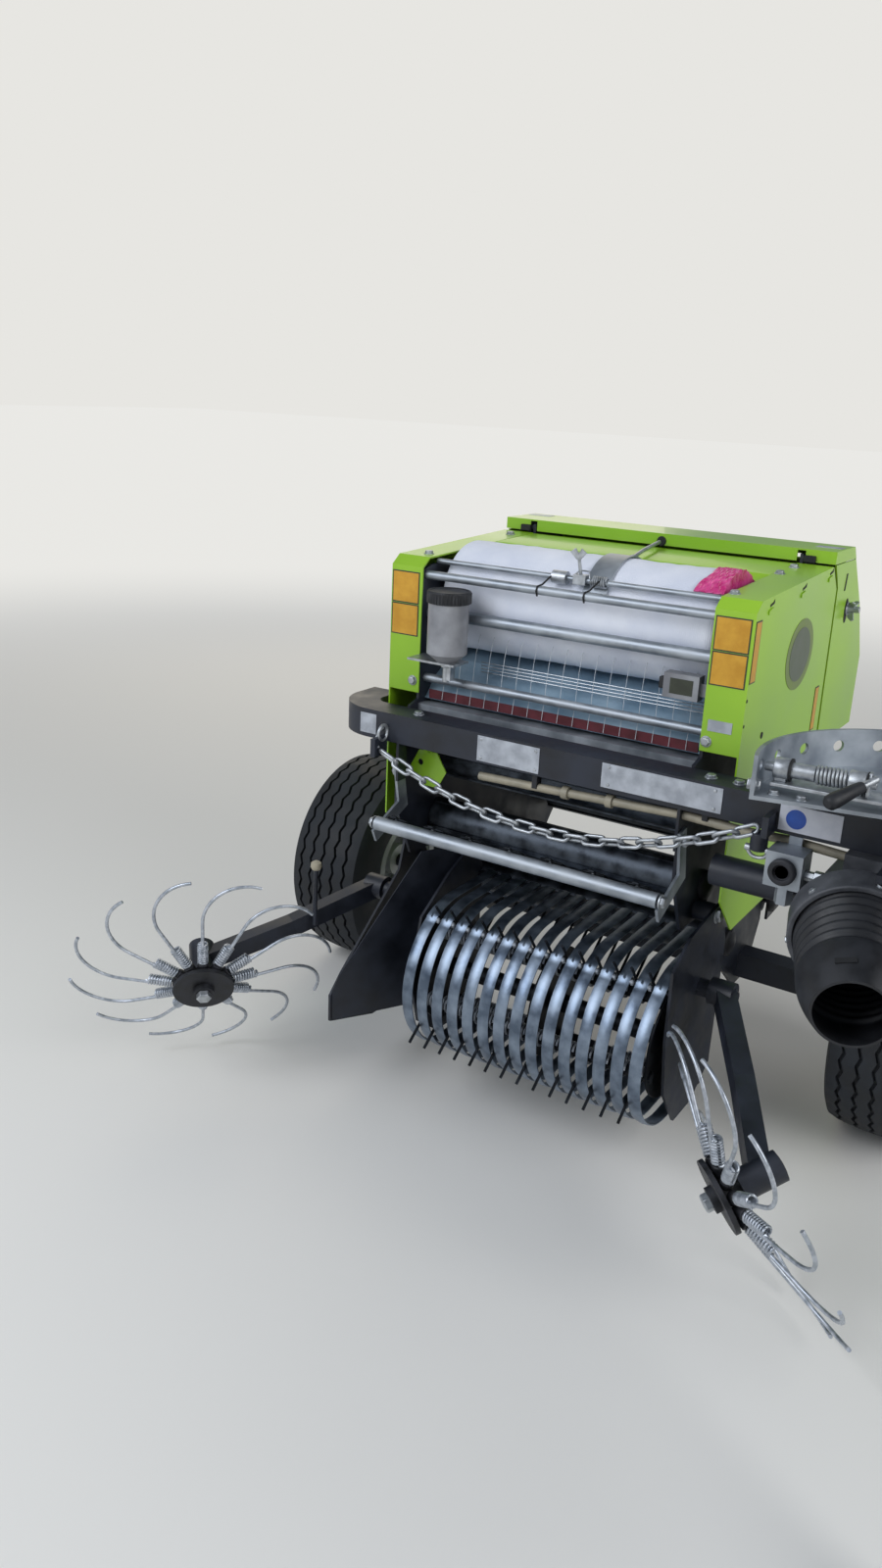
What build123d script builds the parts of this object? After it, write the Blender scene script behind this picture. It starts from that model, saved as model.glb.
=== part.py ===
from build123d import *
import math
import os

# Towed mini round baler. Millimetres, X across the machine (+X its left side), +Y to the rear, +Z up.
# While it is modelled, X = 0 is the middle of the bale chamber, Y = 0 the front of the side covers
# and Z = 0 the ground. At the end everything moves to the middle of its base.

# Bale chamber and its side frames
CHAMBER_WIDTH = 560.0
CHAMBER_Y = 362.0
CHAMBER_Z = 600.0
ROLLER_CIRCLE = 290.0
ROLLER_RADIUS = 40.0
ROLLER_SHAFT_RADIUS = 12.0
ROLLER_GAP = 2.0
RIB_HEIGHT = 3.0
RIB_WIDTH = 10.0
FRAME_PLATE = 6.0
FRAME_INNER = CHAMBER_WIDTH / 2
FRAME_OUTER = FRAME_INNER + FRAME_PLATE
FRONT_ROLLER_ANGLES = [100.0, 145.0, 172.0, 199.0, 250.0]
REAR_ROLLER_ANGLES = [297.0, 323.0, 349.0, 15.0, 40.0, 64.0]

# Green sheet covers over the chain drives
SHEET = 3.0
COVER_WIDTH = 68.0
COVER_OUTER = FRAME_INNER + COVER_WIDTH
COVER_TOP_FRONT = 1010.0
COVER_TOP_REAR = 1045.0
COVER_FRONT_BOTTOM = 775.0
COVER_BOTTOM = 440.0
COVER_REAR_Y = 408.0

# Rear gate
HOOD_RISE = 25.0
HOOD_FOLD = 23.0
HOOD_TOP = COVER_TOP_REAR + HOOD_RISE
HOOD_BOTTOM = HOOD_TOP - HOOD_FOLD
HINGE_DROP = 18.0
HINGE_Y = 428.0
HINGE_Z = HOOD_TOP - HINGE_DROP
HINGE_PIN_RADIUS = 8.0
PIN_CLEARANCE = 0.1
GATE_SIDE_GAP = 5.0
GATE_PLATE = 5.0
GATE_INNER = FRAME_OUTER + GATE_SIDE_GAP
GATE_OUTER = GATE_INNER + GATE_PLATE
HOOD_FRONT_Y = 416.0
HOOD_REAR_Y = 539.0
GATE_REAR_Y = 706.0
HINGE_SLOT = 5.0

# Cross beam at the front
BEAM_FRONT_Y = -85.0
BEAM_DEPTH = 60.0
BEAM_BOTTOM = 697.0
BEAM_HEIGHT = 54.0
BEAM_WALL = 4.0
BEAM_REACH = 77.0
BEAM_LOW_X = -COVER_OUTER - BEAM_REACH
BEAM_HIGH_X = 730.0
BEAM_BEND_RADIUS = 62.0
BEAM_RETURN_Y = 60.0
BEAM_REAR_Y = BEAM_FRONT_Y + BEAM_DEPTH
BEAM_TOP = BEAM_BOTTOM + BEAM_HEIGHT

# Wheels
AXLE_Y = 375.0
AXLE_Z = 242.0
AXLE_SIZE = 50.0
AXLE_END_X = 505.0
SPINDLE_RADIUS = 15.0
WHEEL_X = 617.0
TYRE_RADIUS = 242.0
TYRE_WIDTH = 187.0
RIM_RADIUS = 102.0
RIM_WIDTH = 150.0
HUB_RADIUS = 38.0
RIM_DISH = 32.0
HUB_LENGTH = 100.0

# Net roll and its rods
NET_Y = 145.0
NET_Z = 948.0
NET_RADIUS = 104.0
NET_LOW_X = -263.0
NET_HIGH_X = 263.0
NET_CORE_RADIUS = 30.0
TRAY_SHEET = 2.0
BRAKE_ANGLES = [62.0, 106.0, 150.0]
BRAKE_GAP = 1.0
BRAKE_SHEET = 3.0
BRAKE_WIDTH = 46.0
BRAKE_X = 20.0

# Oil jar: its axis and the foot of its wall
OILER = (-207.0, -21.0, 866.0)
OILER_RADIUS = 37.0
OILER_HEIGHT = 92.0
OILER_NECK = 16.0
OILER_LID = 22.0
OILER_OUTLET = 18.0

# Bale counter: lowest and highest corner of its box
COUNTER_BOX = ((200.0, 14.0, 850.0), (262.0, 38.0, 892.0))

# Pickup
REEL_Y = -38.0
REEL_Z = 259.0
BAND_RADIUS = 150.0
BAND_SHEET = 2.0
BAND_WIDTH = 22.0
BAND_COUNT = 15
BAND_PITCH = 32.6
BAND_FIRST_X = -153.0
BAND_LAST_X = BAND_FIRST_X + (BAND_COUNT - 1) * BAND_PITCH
BAND_REAR_Y = 105.0
PICKUP_PLATE = 5.0
PICKUP_PLATE_INNER = 322.0
REEL_END_X = -178.0
WING_SHEET = 3.0
PICKUP_PIVOT_Y = 60.0
PICKUP_PIVOT_Z = 470.0
PICKUP_PIN_RADIUS = 10.0
REEL_SHAFT_RADIUS = 17.0
TINE_BAR_CIRCLE = 92.0
TINE_BAR_SIZE = 16.0
TINE_TIP_CIRCLE = 184.0
REEL_DISC_RADIUS = TINE_BAR_CIRCLE + TINE_BAR_SIZE / 2 + 4
TINE_TRAIL = 0.16
TINE_RADIUS = 2.75
TINE_BARS = 4

# Wind guard over the pickup
GUARD_PIVOT_Y = -70.0
GUARD_PIVOT_DROP = 57.0
GUARD_PIVOT_Z = BEAM_BOTTOM - GUARD_PIVOT_DROP
GUARD_TUBE_Y = -140.0
GUARD_TUBE_Z = 556.0
GUARD_TUBE_RADIUS = 13.0
GUARD_LOW_X = -267.0
GUARD_HIGH_X = 292.0
GUARD_BAR = 5.0
GUARD_BAR_WIDTH = 26.0
GUARD_PIN_RADIUS = 6.0
GUARD_PIN_STAND = 3.0
GUARD_EAR_GAP = 0.5
GUARD_EAR = 5.0

# Side rake wheels
RAKE_PIVOT = (372.0, 12.0, 350.0)
RAKE_BEND = (467.0, -141.0, 290.0)
STAR_HUB = (516.0, -344.0, 222.0)
STAR_NORMAL = (-0.64, -0.62, -0.45)
STAR_TINES = 12
STAR_DISC_RADIUS = 57.0
STAR_DISC = 8.0
COIL_LENGTH = 48.0
COIL_RADIUS = 11.0
COIL_START = 60.0
STAR_WIRE = 3.2
STAR_STRAIGHT = 52.0
STAR_CURVE = 78.0
STAR_CURVE_ANGLE = 112.0
STAR_LEAN = 14.0
ARM_SIZE = 34.0
BEARING_RADIUS = 24.0
BEARING_LENGTH = 62.0

# Drawbar and its pivot
PIVOT_X = 670.0
PIVOT_Y = -150.0
PIVOT_RADIUS = 20.0
PIVOT_LUG = 46.0
LOWER_LUG = 12.0
QUADRANT_RADIUS = 240.0
QUADRANT_PLATE = 6.0
QUADRANT_RISE = 33.0
QUADRANT_FLANGE = 66.0
QUADRANT_Z = BEAM_TOP + QUADRANT_RISE
QUADRANT_FLANGE_TOP = QUADRANT_Z + QUADRANT_FLANGE
INDEX_HOLE_RADIUS = 9.0
INDEX_HOLE_RISE = 40.0
INDEX_HOLE_Z = QUADRANT_Z + INDEX_HOLE_RISE
INDEX_FIRST_ANGLE = -5.0
INDEX_STEP = 16.0
INDEX_HOLES = 5
DRAWBAR_SIZE = 60.0
DRAWBAR_RISE = 50.0
DRAWBAR_Z = BEAM_BOTTOM + DRAWBAR_RISE
DRAWBAR_HEADING = 18.0
DRAWBAR_STRAIGHT = 560.0
DRAWBAR_DROP_REACH = 700.0
EYE_REACH = 985.0
EYE_Z = 420.0
EYE_BORE = 20.0
EYE_OUTER = 42.0
EYE_HEIGHT = 36.0
JACK_REACH = 560.0
JACK_TUBE = 50.0
JACK_WALL = 4.0
JACK_PLAY = 1.0
JACK_SLEEVE_LENGTH = 190.0
JACK_FOOT_RADIUS = 52.0
JACK_TRAVEL_ROOM = 100.0
CRANK_REACH = 66.0

# Gearbox and shaft cone
GEARBOX_DROP = 85.0
GEARBOX = (590.0, -130.0, BEAM_BOTTOM - GEARBOX_DROP)
PTO_DIRECTION = (0.27, -0.945, -0.17)
CONE_RADIUS = 84.0
CONE_LENGTH = 190.0
CONE_RIBS = 5
CONE_MOUTH = 54.0
STUB_RADIUS = 17.4
STUB_END = 140.0
VALVE_DROP = 41.0
VALVE_BLOCK = (480.0, -110.0, BEAM_BOTTOM - VALVE_DROP)

# Chain across the front
CHAIN_START = (-280.0, 684.0)
CHAIN_END = (428.0, 706.0)
CHAIN_SAG = 84.0
CHAIN_STEPS = 2000
CHAIN_Y = -112.0
CHAIN_WIRE = 6.5
LINK_INNER_LENGTH = 34.0
LINK_INNER_WIDTH = 10.5
LINK_PLAY = 0.8

# Green hanging plate
TAG_X = -236.0


def outline_plate(outline, x_low, x_high):
    """A flat plate across X with an outline of (y, z) points."""
    face = make_face(Plane.YZ * Polyline(*outline, close=True))
    return Pos(x_low, 0, 0) * extrude(face, x_high - x_low, dir=(1, 0, 0))


def strip_outline(points, thickness):
    """The (y, z) outline of a sheet whose one face runs along points, with mitred corners."""
    normals = []
    for (y0, z0), (y1, z1) in zip(points, points[1:]):
        run = math.hypot(y1 - y0, z1 - z0)
        normals.append((-(z1 - z0) / run, (y1 - y0) / run))
    back = []
    for index, (y, z) in enumerate(points):
        before = normals[max(index - 1, 0)]
        after = normals[min(index, len(normals) - 1)]
        share = thickness / (1 + before[0] * after[0] + before[1] * after[1])
        back.append((y + share * (before[0] + after[0]), z + share * (before[1] + after[1])))
    return list(points) + back[::-1]


def bent_sheet(points, thickness, x_low, x_high):
    """A folded sheet across X. It lies on the left of the path of (y, z) points."""
    return outline_plate(strip_outline(points, thickness), x_low, x_high)


def rod(start, end, radius):
    """A round bar from one point to another."""
    start, end = Vector(*start), Vector(*end)
    along = end - start
    plane = Plane(origin=start, z_dir=along)
    return extrude(plane * Circle(radius), along.length, dir=along)


def box_between(low, high):
    """A block between its lowest and highest corners."""
    size = [b - a for a, b in zip(low, high)]
    return Pos(*low) * Box(*size, align=(Align.MIN, Align.MIN, Align.MIN))


def group(pieces):
    """Several separate solids as one node."""
    return Compound([solid for piece in pieces for solid in piece.solids()])


def both_sides(part):
    """A piece of the machine's left side (+X) and its mirror image, as (right, left)."""
    return mirror(part, about=Plane.YZ), part


def chamber_point(angle):
    """The (y, z) place of a roller at an angle from the rear, counted upwards."""
    turn = math.radians(angle)
    return CHAMBER_Y + ROLLER_CIRCLE * math.cos(turn), CHAMBER_Z + ROLLER_CIRCLE * math.sin(turn)


def seam(z):
    """The y of the joint line between the fixed covers and the gate at height z."""
    return 452.0 + (COVER_TOP_REAR - z) * 0.03 - max(0.0, z - 1000.0) * 0.62


# Chamber frames and rollers

def frame_plate():
    """One chamber side: plate, gate hinge ear, axle hole and pickup pivot."""
    low, high = FRAME_INNER, FRAME_OUTER
    outline = [
        (SHEET, COVER_TOP_FRONT - SHEET - 2), (SHEET, BEAM_TOP + 12), (BEAM_REAR_Y, BEAM_TOP + 4),
        (BEAM_REAR_Y, BEAM_BOTTOM - 14), (-58, BEAM_BOTTOM - 14), (-58, 560), (-5, 452), (165, 442),
        (196, 330), (250, 276), (AXLE_Y - 52, 214), (AXLE_Y - 30, AXLE_Z - 42),
        (AXLE_Y + 30, AXLE_Z - 42), (AXLE_Y + 48, 214), (470, 300), (seam(700), 700),
        (seam(1000), 1000), (HINGE_Y + 12, HINGE_Z - 20), (HINGE_Y + 8, HINGE_Z + 8),
        (HINGE_Y - 8, HINGE_Z + 8), (HINGE_Y - 8, HINGE_Z - 9), (COVER_REAR_Y, 1032),
        (30, COVER_TOP_FRONT + SHEET),
    ]
    plate = outline_plate(outline, low, high)
    plate -= rod((low, HINGE_Y, HINGE_Z), (high, HINGE_Y, HINGE_Z), HINGE_PIN_RADIUS + PIN_CLEARANCE)
    half = AXLE_SIZE / 2
    plate -= box_between((low, AXLE_Y - half, AXLE_Z - half), (high, AXLE_Y + half, AXLE_Z + half))
    boss_end = PICKUP_PLATE_INNER - 1.5
    plate += rod((high, PICKUP_PIVOT_Y, PICKUP_PIVOT_Z), (boss_end, PICKUP_PIVOT_Y, PICKUP_PIVOT_Z), 18)
    pin_end = PICKUP_PLATE_INNER + PICKUP_PLATE + 4
    plate += rod((boss_end, PICKUP_PIVOT_Y, PICKUP_PIVOT_Z), (pin_end, PICKUP_PIVOT_Y, PICKUP_PIVOT_Z),
                 PICKUP_PIN_RADIUS)
    return plate


def roller(angle, plate_face):
    """A chamber roller with raised feed ribs, and its shaft out to the side plates."""
    y, z = chamber_point(angle)
    half = FRAME_INNER - ROLLER_GAP
    whole = rod((-half, y, z), (half, y, z), ROLLER_RADIUS - RIB_HEIGHT)
    for turn in (0, 90):
        whole += Pos(0, y, z) * Rot(turn + angle, 0, 0) * Box(2 * half, 2 * ROLLER_RADIUS, RIB_WIDTH)
    return whole + rod((-plate_face, y, z), (plate_face, y, z), ROLLER_SHAFT_RADIUS)


def rollers(angles, plate_face):
    """Several chamber rollers in one node, none touching another."""
    return group([roller(angle, plate_face) for angle in angles])


# Side covers

def cover():
    """Sheet cover over one chain drive: side panel, front and top, open inside and below."""
    side = [
        (0, COVER_TOP_FRONT), (22, COVER_TOP_FRONT + 17), (COVER_REAR_Y, COVER_TOP_REAR - 1),
        (seam(1000) - 8, 1000), (seam(700) - 8, 700), (seam(COVER_BOTTOM) - 8, COVER_BOTTOM),
        (78, COVER_BOTTOM), (0, 520),
    ]
    panel = outline_plate(side, COVER_OUTER - SHEET, COVER_OUTER)
    wall = [(COVER_REAR_Y, COVER_TOP_REAR - 1), (22, COVER_TOP_FRONT + 17), (0, COVER_TOP_FRONT),
            (0, COVER_FRONT_BOTTOM)]
    return panel + bent_sheet(wall, SHEET, FRAME_INNER, COVER_OUTER - SHEET)


# Rear gate

def gate_frame():
    """One gate side plate with its hinge pin."""
    outline = [
        (HINGE_Y - 9, HINGE_Z - 10), (HINGE_Y - 9, HINGE_Z + 8), (HINGE_Y, HOOD_TOP - SHEET),
        (HOOD_REAR_Y - 12, HOOD_TOP - SHEET), (556, HOOD_TOP - 32), (632, HOOD_TOP - 124),
        (GATE_REAR_Y - SHEET - 1, 832), (GATE_REAR_Y - SHEET - 1, 560), (650, 400), (560, 300), (484, 296),
        (seam(700) + 12, 700),
        (seam(1000) + 12, 1000),
    ]
    plate = outline_plate(outline, GATE_INNER, GATE_OUTER)
    return plate + rod((FRAME_INNER, HINGE_Y, HINGE_Z), (GATE_INNER, HINGE_Y, HINGE_Z), HINGE_PIN_RADIUS)


GATE_BACK = [(HOOD_REAR_Y + 26, HOOD_TOP - 33), (640, HOOD_TOP - 122), (GATE_REAR_Y, 834), (GATE_REAR_Y, 690)]


def gate_cover():
    """Green side panel of the gate with the folded edge that meets its side plate."""
    top = HOOD_BOTTOM - 2
    side = [(HOOD_FRONT_Y + 8, top), (HOOD_REAR_Y + 18, top)] + GATE_BACK[1:]
    side += [(seam(690) + 4, 690), (seam(1000) + 2, 1000)]
    panel = outline_plate(side, COVER_OUTER - SHEET, COVER_OUTER)
    edge = bent_sheet(GATE_BACK[::-1], SHEET, GATE_OUTER, COVER_OUTER - SHEET)
    return panel + edge


def gate_back():
    """Rear sheet of the gate between its side plates."""
    return bent_sheet(GATE_BACK[::-1], SHEET, -GATE_OUTER, GATE_OUTER)


def gate_hood():
    """Folded top sheet of the gate, the full width of the covers."""
    fold = [(HOOD_REAR_Y + 18, HOOD_BOTTOM), (HOOD_REAR_Y, HOOD_TOP), (HOOD_FRONT_Y, HOOD_TOP),
            (HOOD_FRONT_Y, HOOD_BOTTOM)]
    sheet = bent_sheet(fold, SHEET, -COVER_OUTER, COVER_OUTER)
    end = outline_plate(fold, COVER_OUTER - SHEET, COVER_OUTER)
    slot = box_between((FRAME_INNER - HINGE_SLOT, HOOD_FRONT_Y, HOOD_BOTTOM),
                       (GATE_INNER, HOOD_FRONT_Y + SHEET, HOOD_TOP - SHEET))
    return sheet + end + mirror(end, about=Plane.YZ) - slot - mirror(slot, about=Plane.YZ)


# Beam and axle

def cross_beam():
    """Box beam across the front, its right end bent to the rear, with the drawbar's lower lug."""
    middle_y = BEAM_FRONT_Y + BEAM_DEPTH / 2
    bent_x = BEAM_LOW_X + BEAM_DEPTH / 2
    z = BEAM_BOTTOM + BEAM_HEIGHT / 2
    path = FilletPolyline((BEAM_HIGH_X, middle_y, z), (bent_x, middle_y, z), (bent_x, BEAM_RETURN_Y, z),
                          radius=BEAM_BEND_RADIUS)
    start = Plane(origin=path @ 0, z_dir=path % 0, x_dir=(0, 1, 0))
    beam = sweep(start * Rectangle(BEAM_DEPTH, BEAM_HEIGHT), path=path)
    beam -= sweep(start * Rectangle(BEAM_DEPTH - 2 * BEAM_WALL, BEAM_HEIGHT - 2 * BEAM_WALL), path=path)
    stay = box_between((bent_x + BEAM_DEPTH / 2, BEAM_REAR_Y + 47, BEAM_BOTTOM + 8),
                       (-COVER_OUTER, BEAM_RETURN_Y, BEAM_BOTTOM + 16))
    lug = box_between((PIVOT_X - PIVOT_LUG, PIVOT_Y - PIVOT_LUG, BEAM_BOTTOM),
                      (PIVOT_X + PIVOT_LUG, BEAM_FRONT_Y, BEAM_BOTTOM + LOWER_LUG))
    top = box_between((PIVOT_X - PIVOT_LUG, BEAM_FRONT_Y, BEAM_TOP),
                      (PIVOT_X + PIVOT_LUG, BEAM_REAR_Y, QUADRANT_Z))
    pin = rod((PIVOT_X, PIVOT_Y, BEAM_BOTTOM + LOWER_LUG), (PIVOT_X, PIVOT_Y, QUADRANT_Z), PIVOT_RADIUS)
    whole = beam + stay + lug + top + pin
    for bar_face, inward in ((GUARD_LOW_X, 1), (GUARD_HIGH_X, -1)):
        near, far = sorted(bar_face + inward * step for step in (GUARD_EAR_GAP, GUARD_EAR_GAP + GUARD_EAR))
        pin_end = bar_face - inward * (GUARD_BAR + GUARD_PIN_STAND)
        whole += box_between((near, BEAM_FRONT_Y, GUARD_PIVOT_Z - 16),
                             (far, GUARD_PIVOT_Y + 11, BEAM_BOTTOM))
        whole += rod((bar_face + inward, GUARD_PIVOT_Y, GUARD_PIVOT_Z),
                     (pin_end, GUARD_PIVOT_Y, GUARD_PIVOT_Z), GUARD_PIN_RADIUS)
    return whole


def axle():
    """Square axle beam through both frames, with a spindle at each end."""
    half = AXLE_SIZE / 2
    beam = box_between((-AXLE_END_X, AXLE_Y - half, AXLE_Z - half),
                       (AXLE_END_X, AXLE_Y + half, AXLE_Z + half))
    spindle = rod((AXLE_END_X, AXLE_Y, AXLE_Z), (WHEEL_X + HUB_LENGTH / 2, AXLE_Y, AXLE_Z), SPINDLE_RADIUS)
    return beam + spindle + mirror(spindle, about=Plane.YZ)


# Wheels

def tyre():
    """Low-pressure tyre: a ring with a flat tread, bevelled shoulders and beads on the rim."""
    half = TYRE_WIDTH / 2
    side = [(RIM_WIDTH / 2 - 6, RIM_RADIUS), (half, TYRE_RADIUS * 0.62), (half, TYRE_RADIUS * 0.83),
            (half - 12, TYRE_RADIUS - 14), (half - 36, TYRE_RADIUS)]
    other = [(-x, radius) for x, radius in side[::-1]]
    ring = revolve(make_face(Polyline(*side, *other, close=True)), axis=Axis.X)
    return Pos(WHEEL_X, AXLE_Y, AXLE_Z) * ring


def rim():
    """Pressed rim with a dished web and the hub that turns on the spindle."""
    half = RIM_WIDTH / 2
    bore = SPINDLE_RADIUS + PIN_CLEARANCE
    well = RIM_RADIUS - 8
    points = [
        (-half, RIM_RADIUS + 10), (6 - half, RIM_RADIUS), (half - 6, RIM_RADIUS), (half, RIM_RADIUS + 10),
        (half, well), (20, well), (RIM_DISH, HUB_RADIUS), (HUB_LENGTH / 2, HUB_RADIUS),
        (HUB_LENGTH / 2, bore), (-HUB_LENGTH / 2, bore), (-HUB_LENGTH / 2, HUB_RADIUS),
        (RIM_DISH - 8, HUB_RADIUS), (10, well), (-half, well),
    ]
    ring = revolve(make_face(Polyline(*points, close=True)), axis=Axis.X)
    return Pos(WHEEL_X, AXLE_Y, AXLE_Z) * ring


# Net bay

# Cross rods of the net bay: y, z, radius
NET_RODS = [
    (50, 1018, 5), (16, 996, 8), (29, 925, 11), (22, 802, 8),
]


def net_rods():
    """The round bars that guide the net, from side plate to side plate."""
    bars = [rod((-FRAME_INNER, y, z), (FRAME_INNER, y, z), radius) for y, z, radius in NET_RODS]
    return group(bars)


def net_roll():
    """Roll of bale net on its card core."""
    roll = rod((NET_LOW_X, NET_Y, NET_Z), (NET_HIGH_X, NET_Y, NET_Z), NET_RADIUS)
    core = rod((NET_LOW_X, NET_Y, NET_Z), (NET_HIGH_X, NET_Y, NET_Z), NET_CORE_RADIUS)
    return roll - core


# Folds of the net tray from its rear edge to its front lip: y, z
TRAY_FOLDS = [(262, 872), (150, 838), (104, 826), (58, 800), (24, 762)]


def net_tray():
    """Galvanised sheet under the net roll, folded down to the front."""
    return bent_sheet(TRAY_FOLDS, TRAY_SHEET, -FRAME_INNER, FRAME_INNER)


# Folds of the front angle from its lip to its rear edge: y, z
FRONT_ANGLE_FOLDS = [(4, 730), (4, 752), (44, 752)]


def front_angle():
    """Galvanised angle along the bottom of the net bay."""
    return bent_sheet(FRONT_ANGLE_FOLDS, SHEET, -FRAME_INNER, FRAME_INNER)


def net_brake():
    """Curved strip that presses on the net roll, its clamp on the upper rod and its wing handle."""
    ring = Circle(NET_RADIUS + BRAKE_GAP + BRAKE_SHEET) - Circle(NET_RADIUS + BRAKE_GAP)
    turns = [math.radians(angle) for angle in BRAKE_ANGLES]
    wedge = [(0, 0)] + [(2 * NET_RADIUS * math.cos(turn), 2 * NET_RADIUS * math.sin(turn)) for turn in turns]
    strip = extrude(Plane.YZ * (ring & make_face(Polyline(*wedge, close=True))), BRAKE_WIDTH, dir=(1, 0, 0))
    strip = Pos(BRAKE_X, NET_Y, NET_Z) * strip
    y, z, radius = NET_RODS[0]
    clamp = box_between((-16, y - 9, z + radius), (16, y + 9, z + radius + 10))
    stem = rod((0, y, z + radius + 10), (0, y - 8, z + 44), 4)
    wings = box_between((-17, y - 11, z + 38), (-3, y - 7, z + 56))
    wings += box_between((3, y - 11, z + 38), (17, y - 7, z + 56))
    bar = box_between((-17, y - 11, z + 34), (17, y - 7, z + 38))
    return group([strip, clamp + stem + wings + bar])


def oiler():
    """Oil jar for the chain drives: a cylinder that narrows to its neck, under a round lid."""
    x, y, z = OILER
    jar = Pos(x, y, z) * Cylinder(OILER_RADIUS, OILER_HEIGHT, align=(Align.CENTER, Align.CENTER, Align.MIN))
    neck = Cone(OILER_OUTLET, OILER_RADIUS, OILER_NECK, align=(Align.CENTER, Align.CENTER, Align.MAX))
    return jar + Pos(x, y, z) * neck


def oiler_lid():
    """Screw lid of the oil jar."""
    x, y, z = OILER
    lid = Cylinder(OILER_RADIUS + 4, OILER_LID, align=(Align.CENTER, Align.CENTER, Align.MIN))
    return Pos(x, y, z + OILER_HEIGHT) * lid


def oiler_bracket():
    """Bent bracket that carries the oil jar on the right frame."""
    x, y, z = OILER
    top = z - OILER_NECK
    shelf = box_between((-FRAME_INNER, y - 20, top - 4), (x + 28, y + 32, top))
    web = box_between((x - 4, y - 4, top - 34), (x + 12, y + 12, top - 4))
    return shelf + web


def counter():
    """Small bale counter box hung on the left frame."""
    (x0, y0, z0), (x1, y1, z1) = COUNTER_BOX
    middle = (y0 + y1) / 2
    bracket = box_between((x1, middle - 2, z0 + 8), (FRAME_INNER, middle + 2, z1 - 12))
    return box_between(*COUNTER_BOX) + bracket


# Drawbar side

def quadrant():
    """Sector plate over the drawbar pivot, with an upright rim of index holes."""
    far = QUADRANT_RADIUS + 80
    edge = [(-far, -86), (-44, -26), (-20, -36), (40, -36), (60, 0), (60, far), (-far, far)]
    keep = make_face(Polyline(*edge, close=True))
    plate = extrude(Circle(QUADRANT_RADIUS) & keep, QUADRANT_PLATE)
    rim_height = QUADRANT_FLANGE_TOP - QUADRANT_Z
    rim_ring = Circle(QUADRANT_RADIUS) - Circle(QUADRANT_RADIUS - QUADRANT_PLATE)
    sector = plate + extrude(rim_ring & keep, rim_height)
    for index in range(INDEX_HOLES):
        turn = math.radians(180 - INDEX_FIRST_ANGLE - index * INDEX_STEP)
        direction = (math.cos(turn), math.sin(turn))
        start, end = [[c * (QUADRANT_RADIUS + step) for c in direction] for step in (-20, 20)]
        height = INDEX_HOLE_Z - QUADRANT_Z
        sector -= rod((*start, height), (*end, height), INDEX_HOLE_RADIUS)
    return Pos(PIVOT_X, PIVOT_Y, QUADRANT_Z) * sector


def drawbar_place():
    """Local frame of the drawbar: +Y runs from the pivot towards the tow eye."""
    return Pos(PIVOT_X, PIVOT_Y, 0) * Rot(0, 0, DRAWBAR_HEADING + 180)


def drawbar():
    """Square tube from the pivot eye forward and down to the tow eye, with the jack's bracket."""
    half = DRAWBAR_SIZE / 2
    path = Polyline((0, 0, DRAWBAR_Z), (0, DRAWBAR_STRAIGHT, DRAWBAR_Z), (0, DRAWBAR_DROP_REACH + 60, EYE_Z),
                    (0, EYE_REACH - EYE_OUTER + 8, EYE_Z))
    start = Plane(origin=(0, 0, DRAWBAR_Z), z_dir=(0, 1, 0), x_dir=(1, 0, 0))
    tube = sweep(start * Rectangle(DRAWBAR_SIZE, DRAWBAR_SIZE), path=path, transition=Transition.RIGHT)
    head = Pos(0, 0, DRAWBAR_Z) * Cylinder(half + 8, DRAWBAR_SIZE)
    tube += head
    tube -= Pos(0, 0, DRAWBAR_Z) * Cylinder(PIVOT_RADIUS + PIN_CLEARANCE, DRAWBAR_SIZE)
    tube -= Pos(0, EYE_REACH, EYE_Z) * Cylinder(EYE_OUTER, 2 * DRAWBAR_SIZE)
    tower = box_between((-24, half + 26, DRAWBAR_Z + half), (24, half + 62, QUADRANT_Z + 16))
    arm = box_between((-24, 0, QUADRANT_Z + 12), (24, half + 62, QUADRANT_Z + 18))
    return drawbar_place() * (tube + tower + arm)


def tow_eye():
    """Forged ring at the drawbar's tip."""
    ring = Cylinder(EYE_OUTER, EYE_HEIGHT) - Cylinder(EYE_BORE, EYE_HEIGHT)
    return drawbar_place() * Pos(0, EYE_REACH, EYE_Z) * ring


def index_lever():
    """Spring-loaded index pin on its arm above the sector plate, with a sloping hand grip."""
    angle = 180 - INDEX_FIRST_ANGLE
    z = INDEX_HOLE_Z - QUADRANT_Z
    deck = QUADRANT_PLATE + 12
    plate = box_between((-30, -22, deck), (QUADRANT_RADIUS - 24, 22, deck + 5))
    pin = rod((86, 0, z), (QUADRANT_RADIUS - QUADRANT_PLATE - 6, 0, z), 7)
    guides = box_between((QUADRANT_RADIUS - 48, -13, deck + 5), (QUADRANT_RADIUS - 26, 13, z + 13))
    guides += box_between((84, -13, deck + 5), (104, 13, z + 13))
    coils = [rod((112 + 10 * step, 0, z), (117 + 10 * step, 0, z), 12) for step in range(8)]
    grip = rod((94, 13, z + 6), (94, 92, z - 4), 9)
    whole = plate + pin + guides + grip
    for coil in coils:
        whole += coil
    return Pos(PIVOT_X, PIVOT_Y, QUADRANT_Z) * Rot(0, 0, angle) * whole


def jack_place():
    """Local frame of the parking jack, beside the drawbar on its outer side."""
    return drawbar_place() * Pos(-(DRAWBAR_SIZE + JACK_TUBE) / 2, JACK_REACH, 0)


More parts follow.
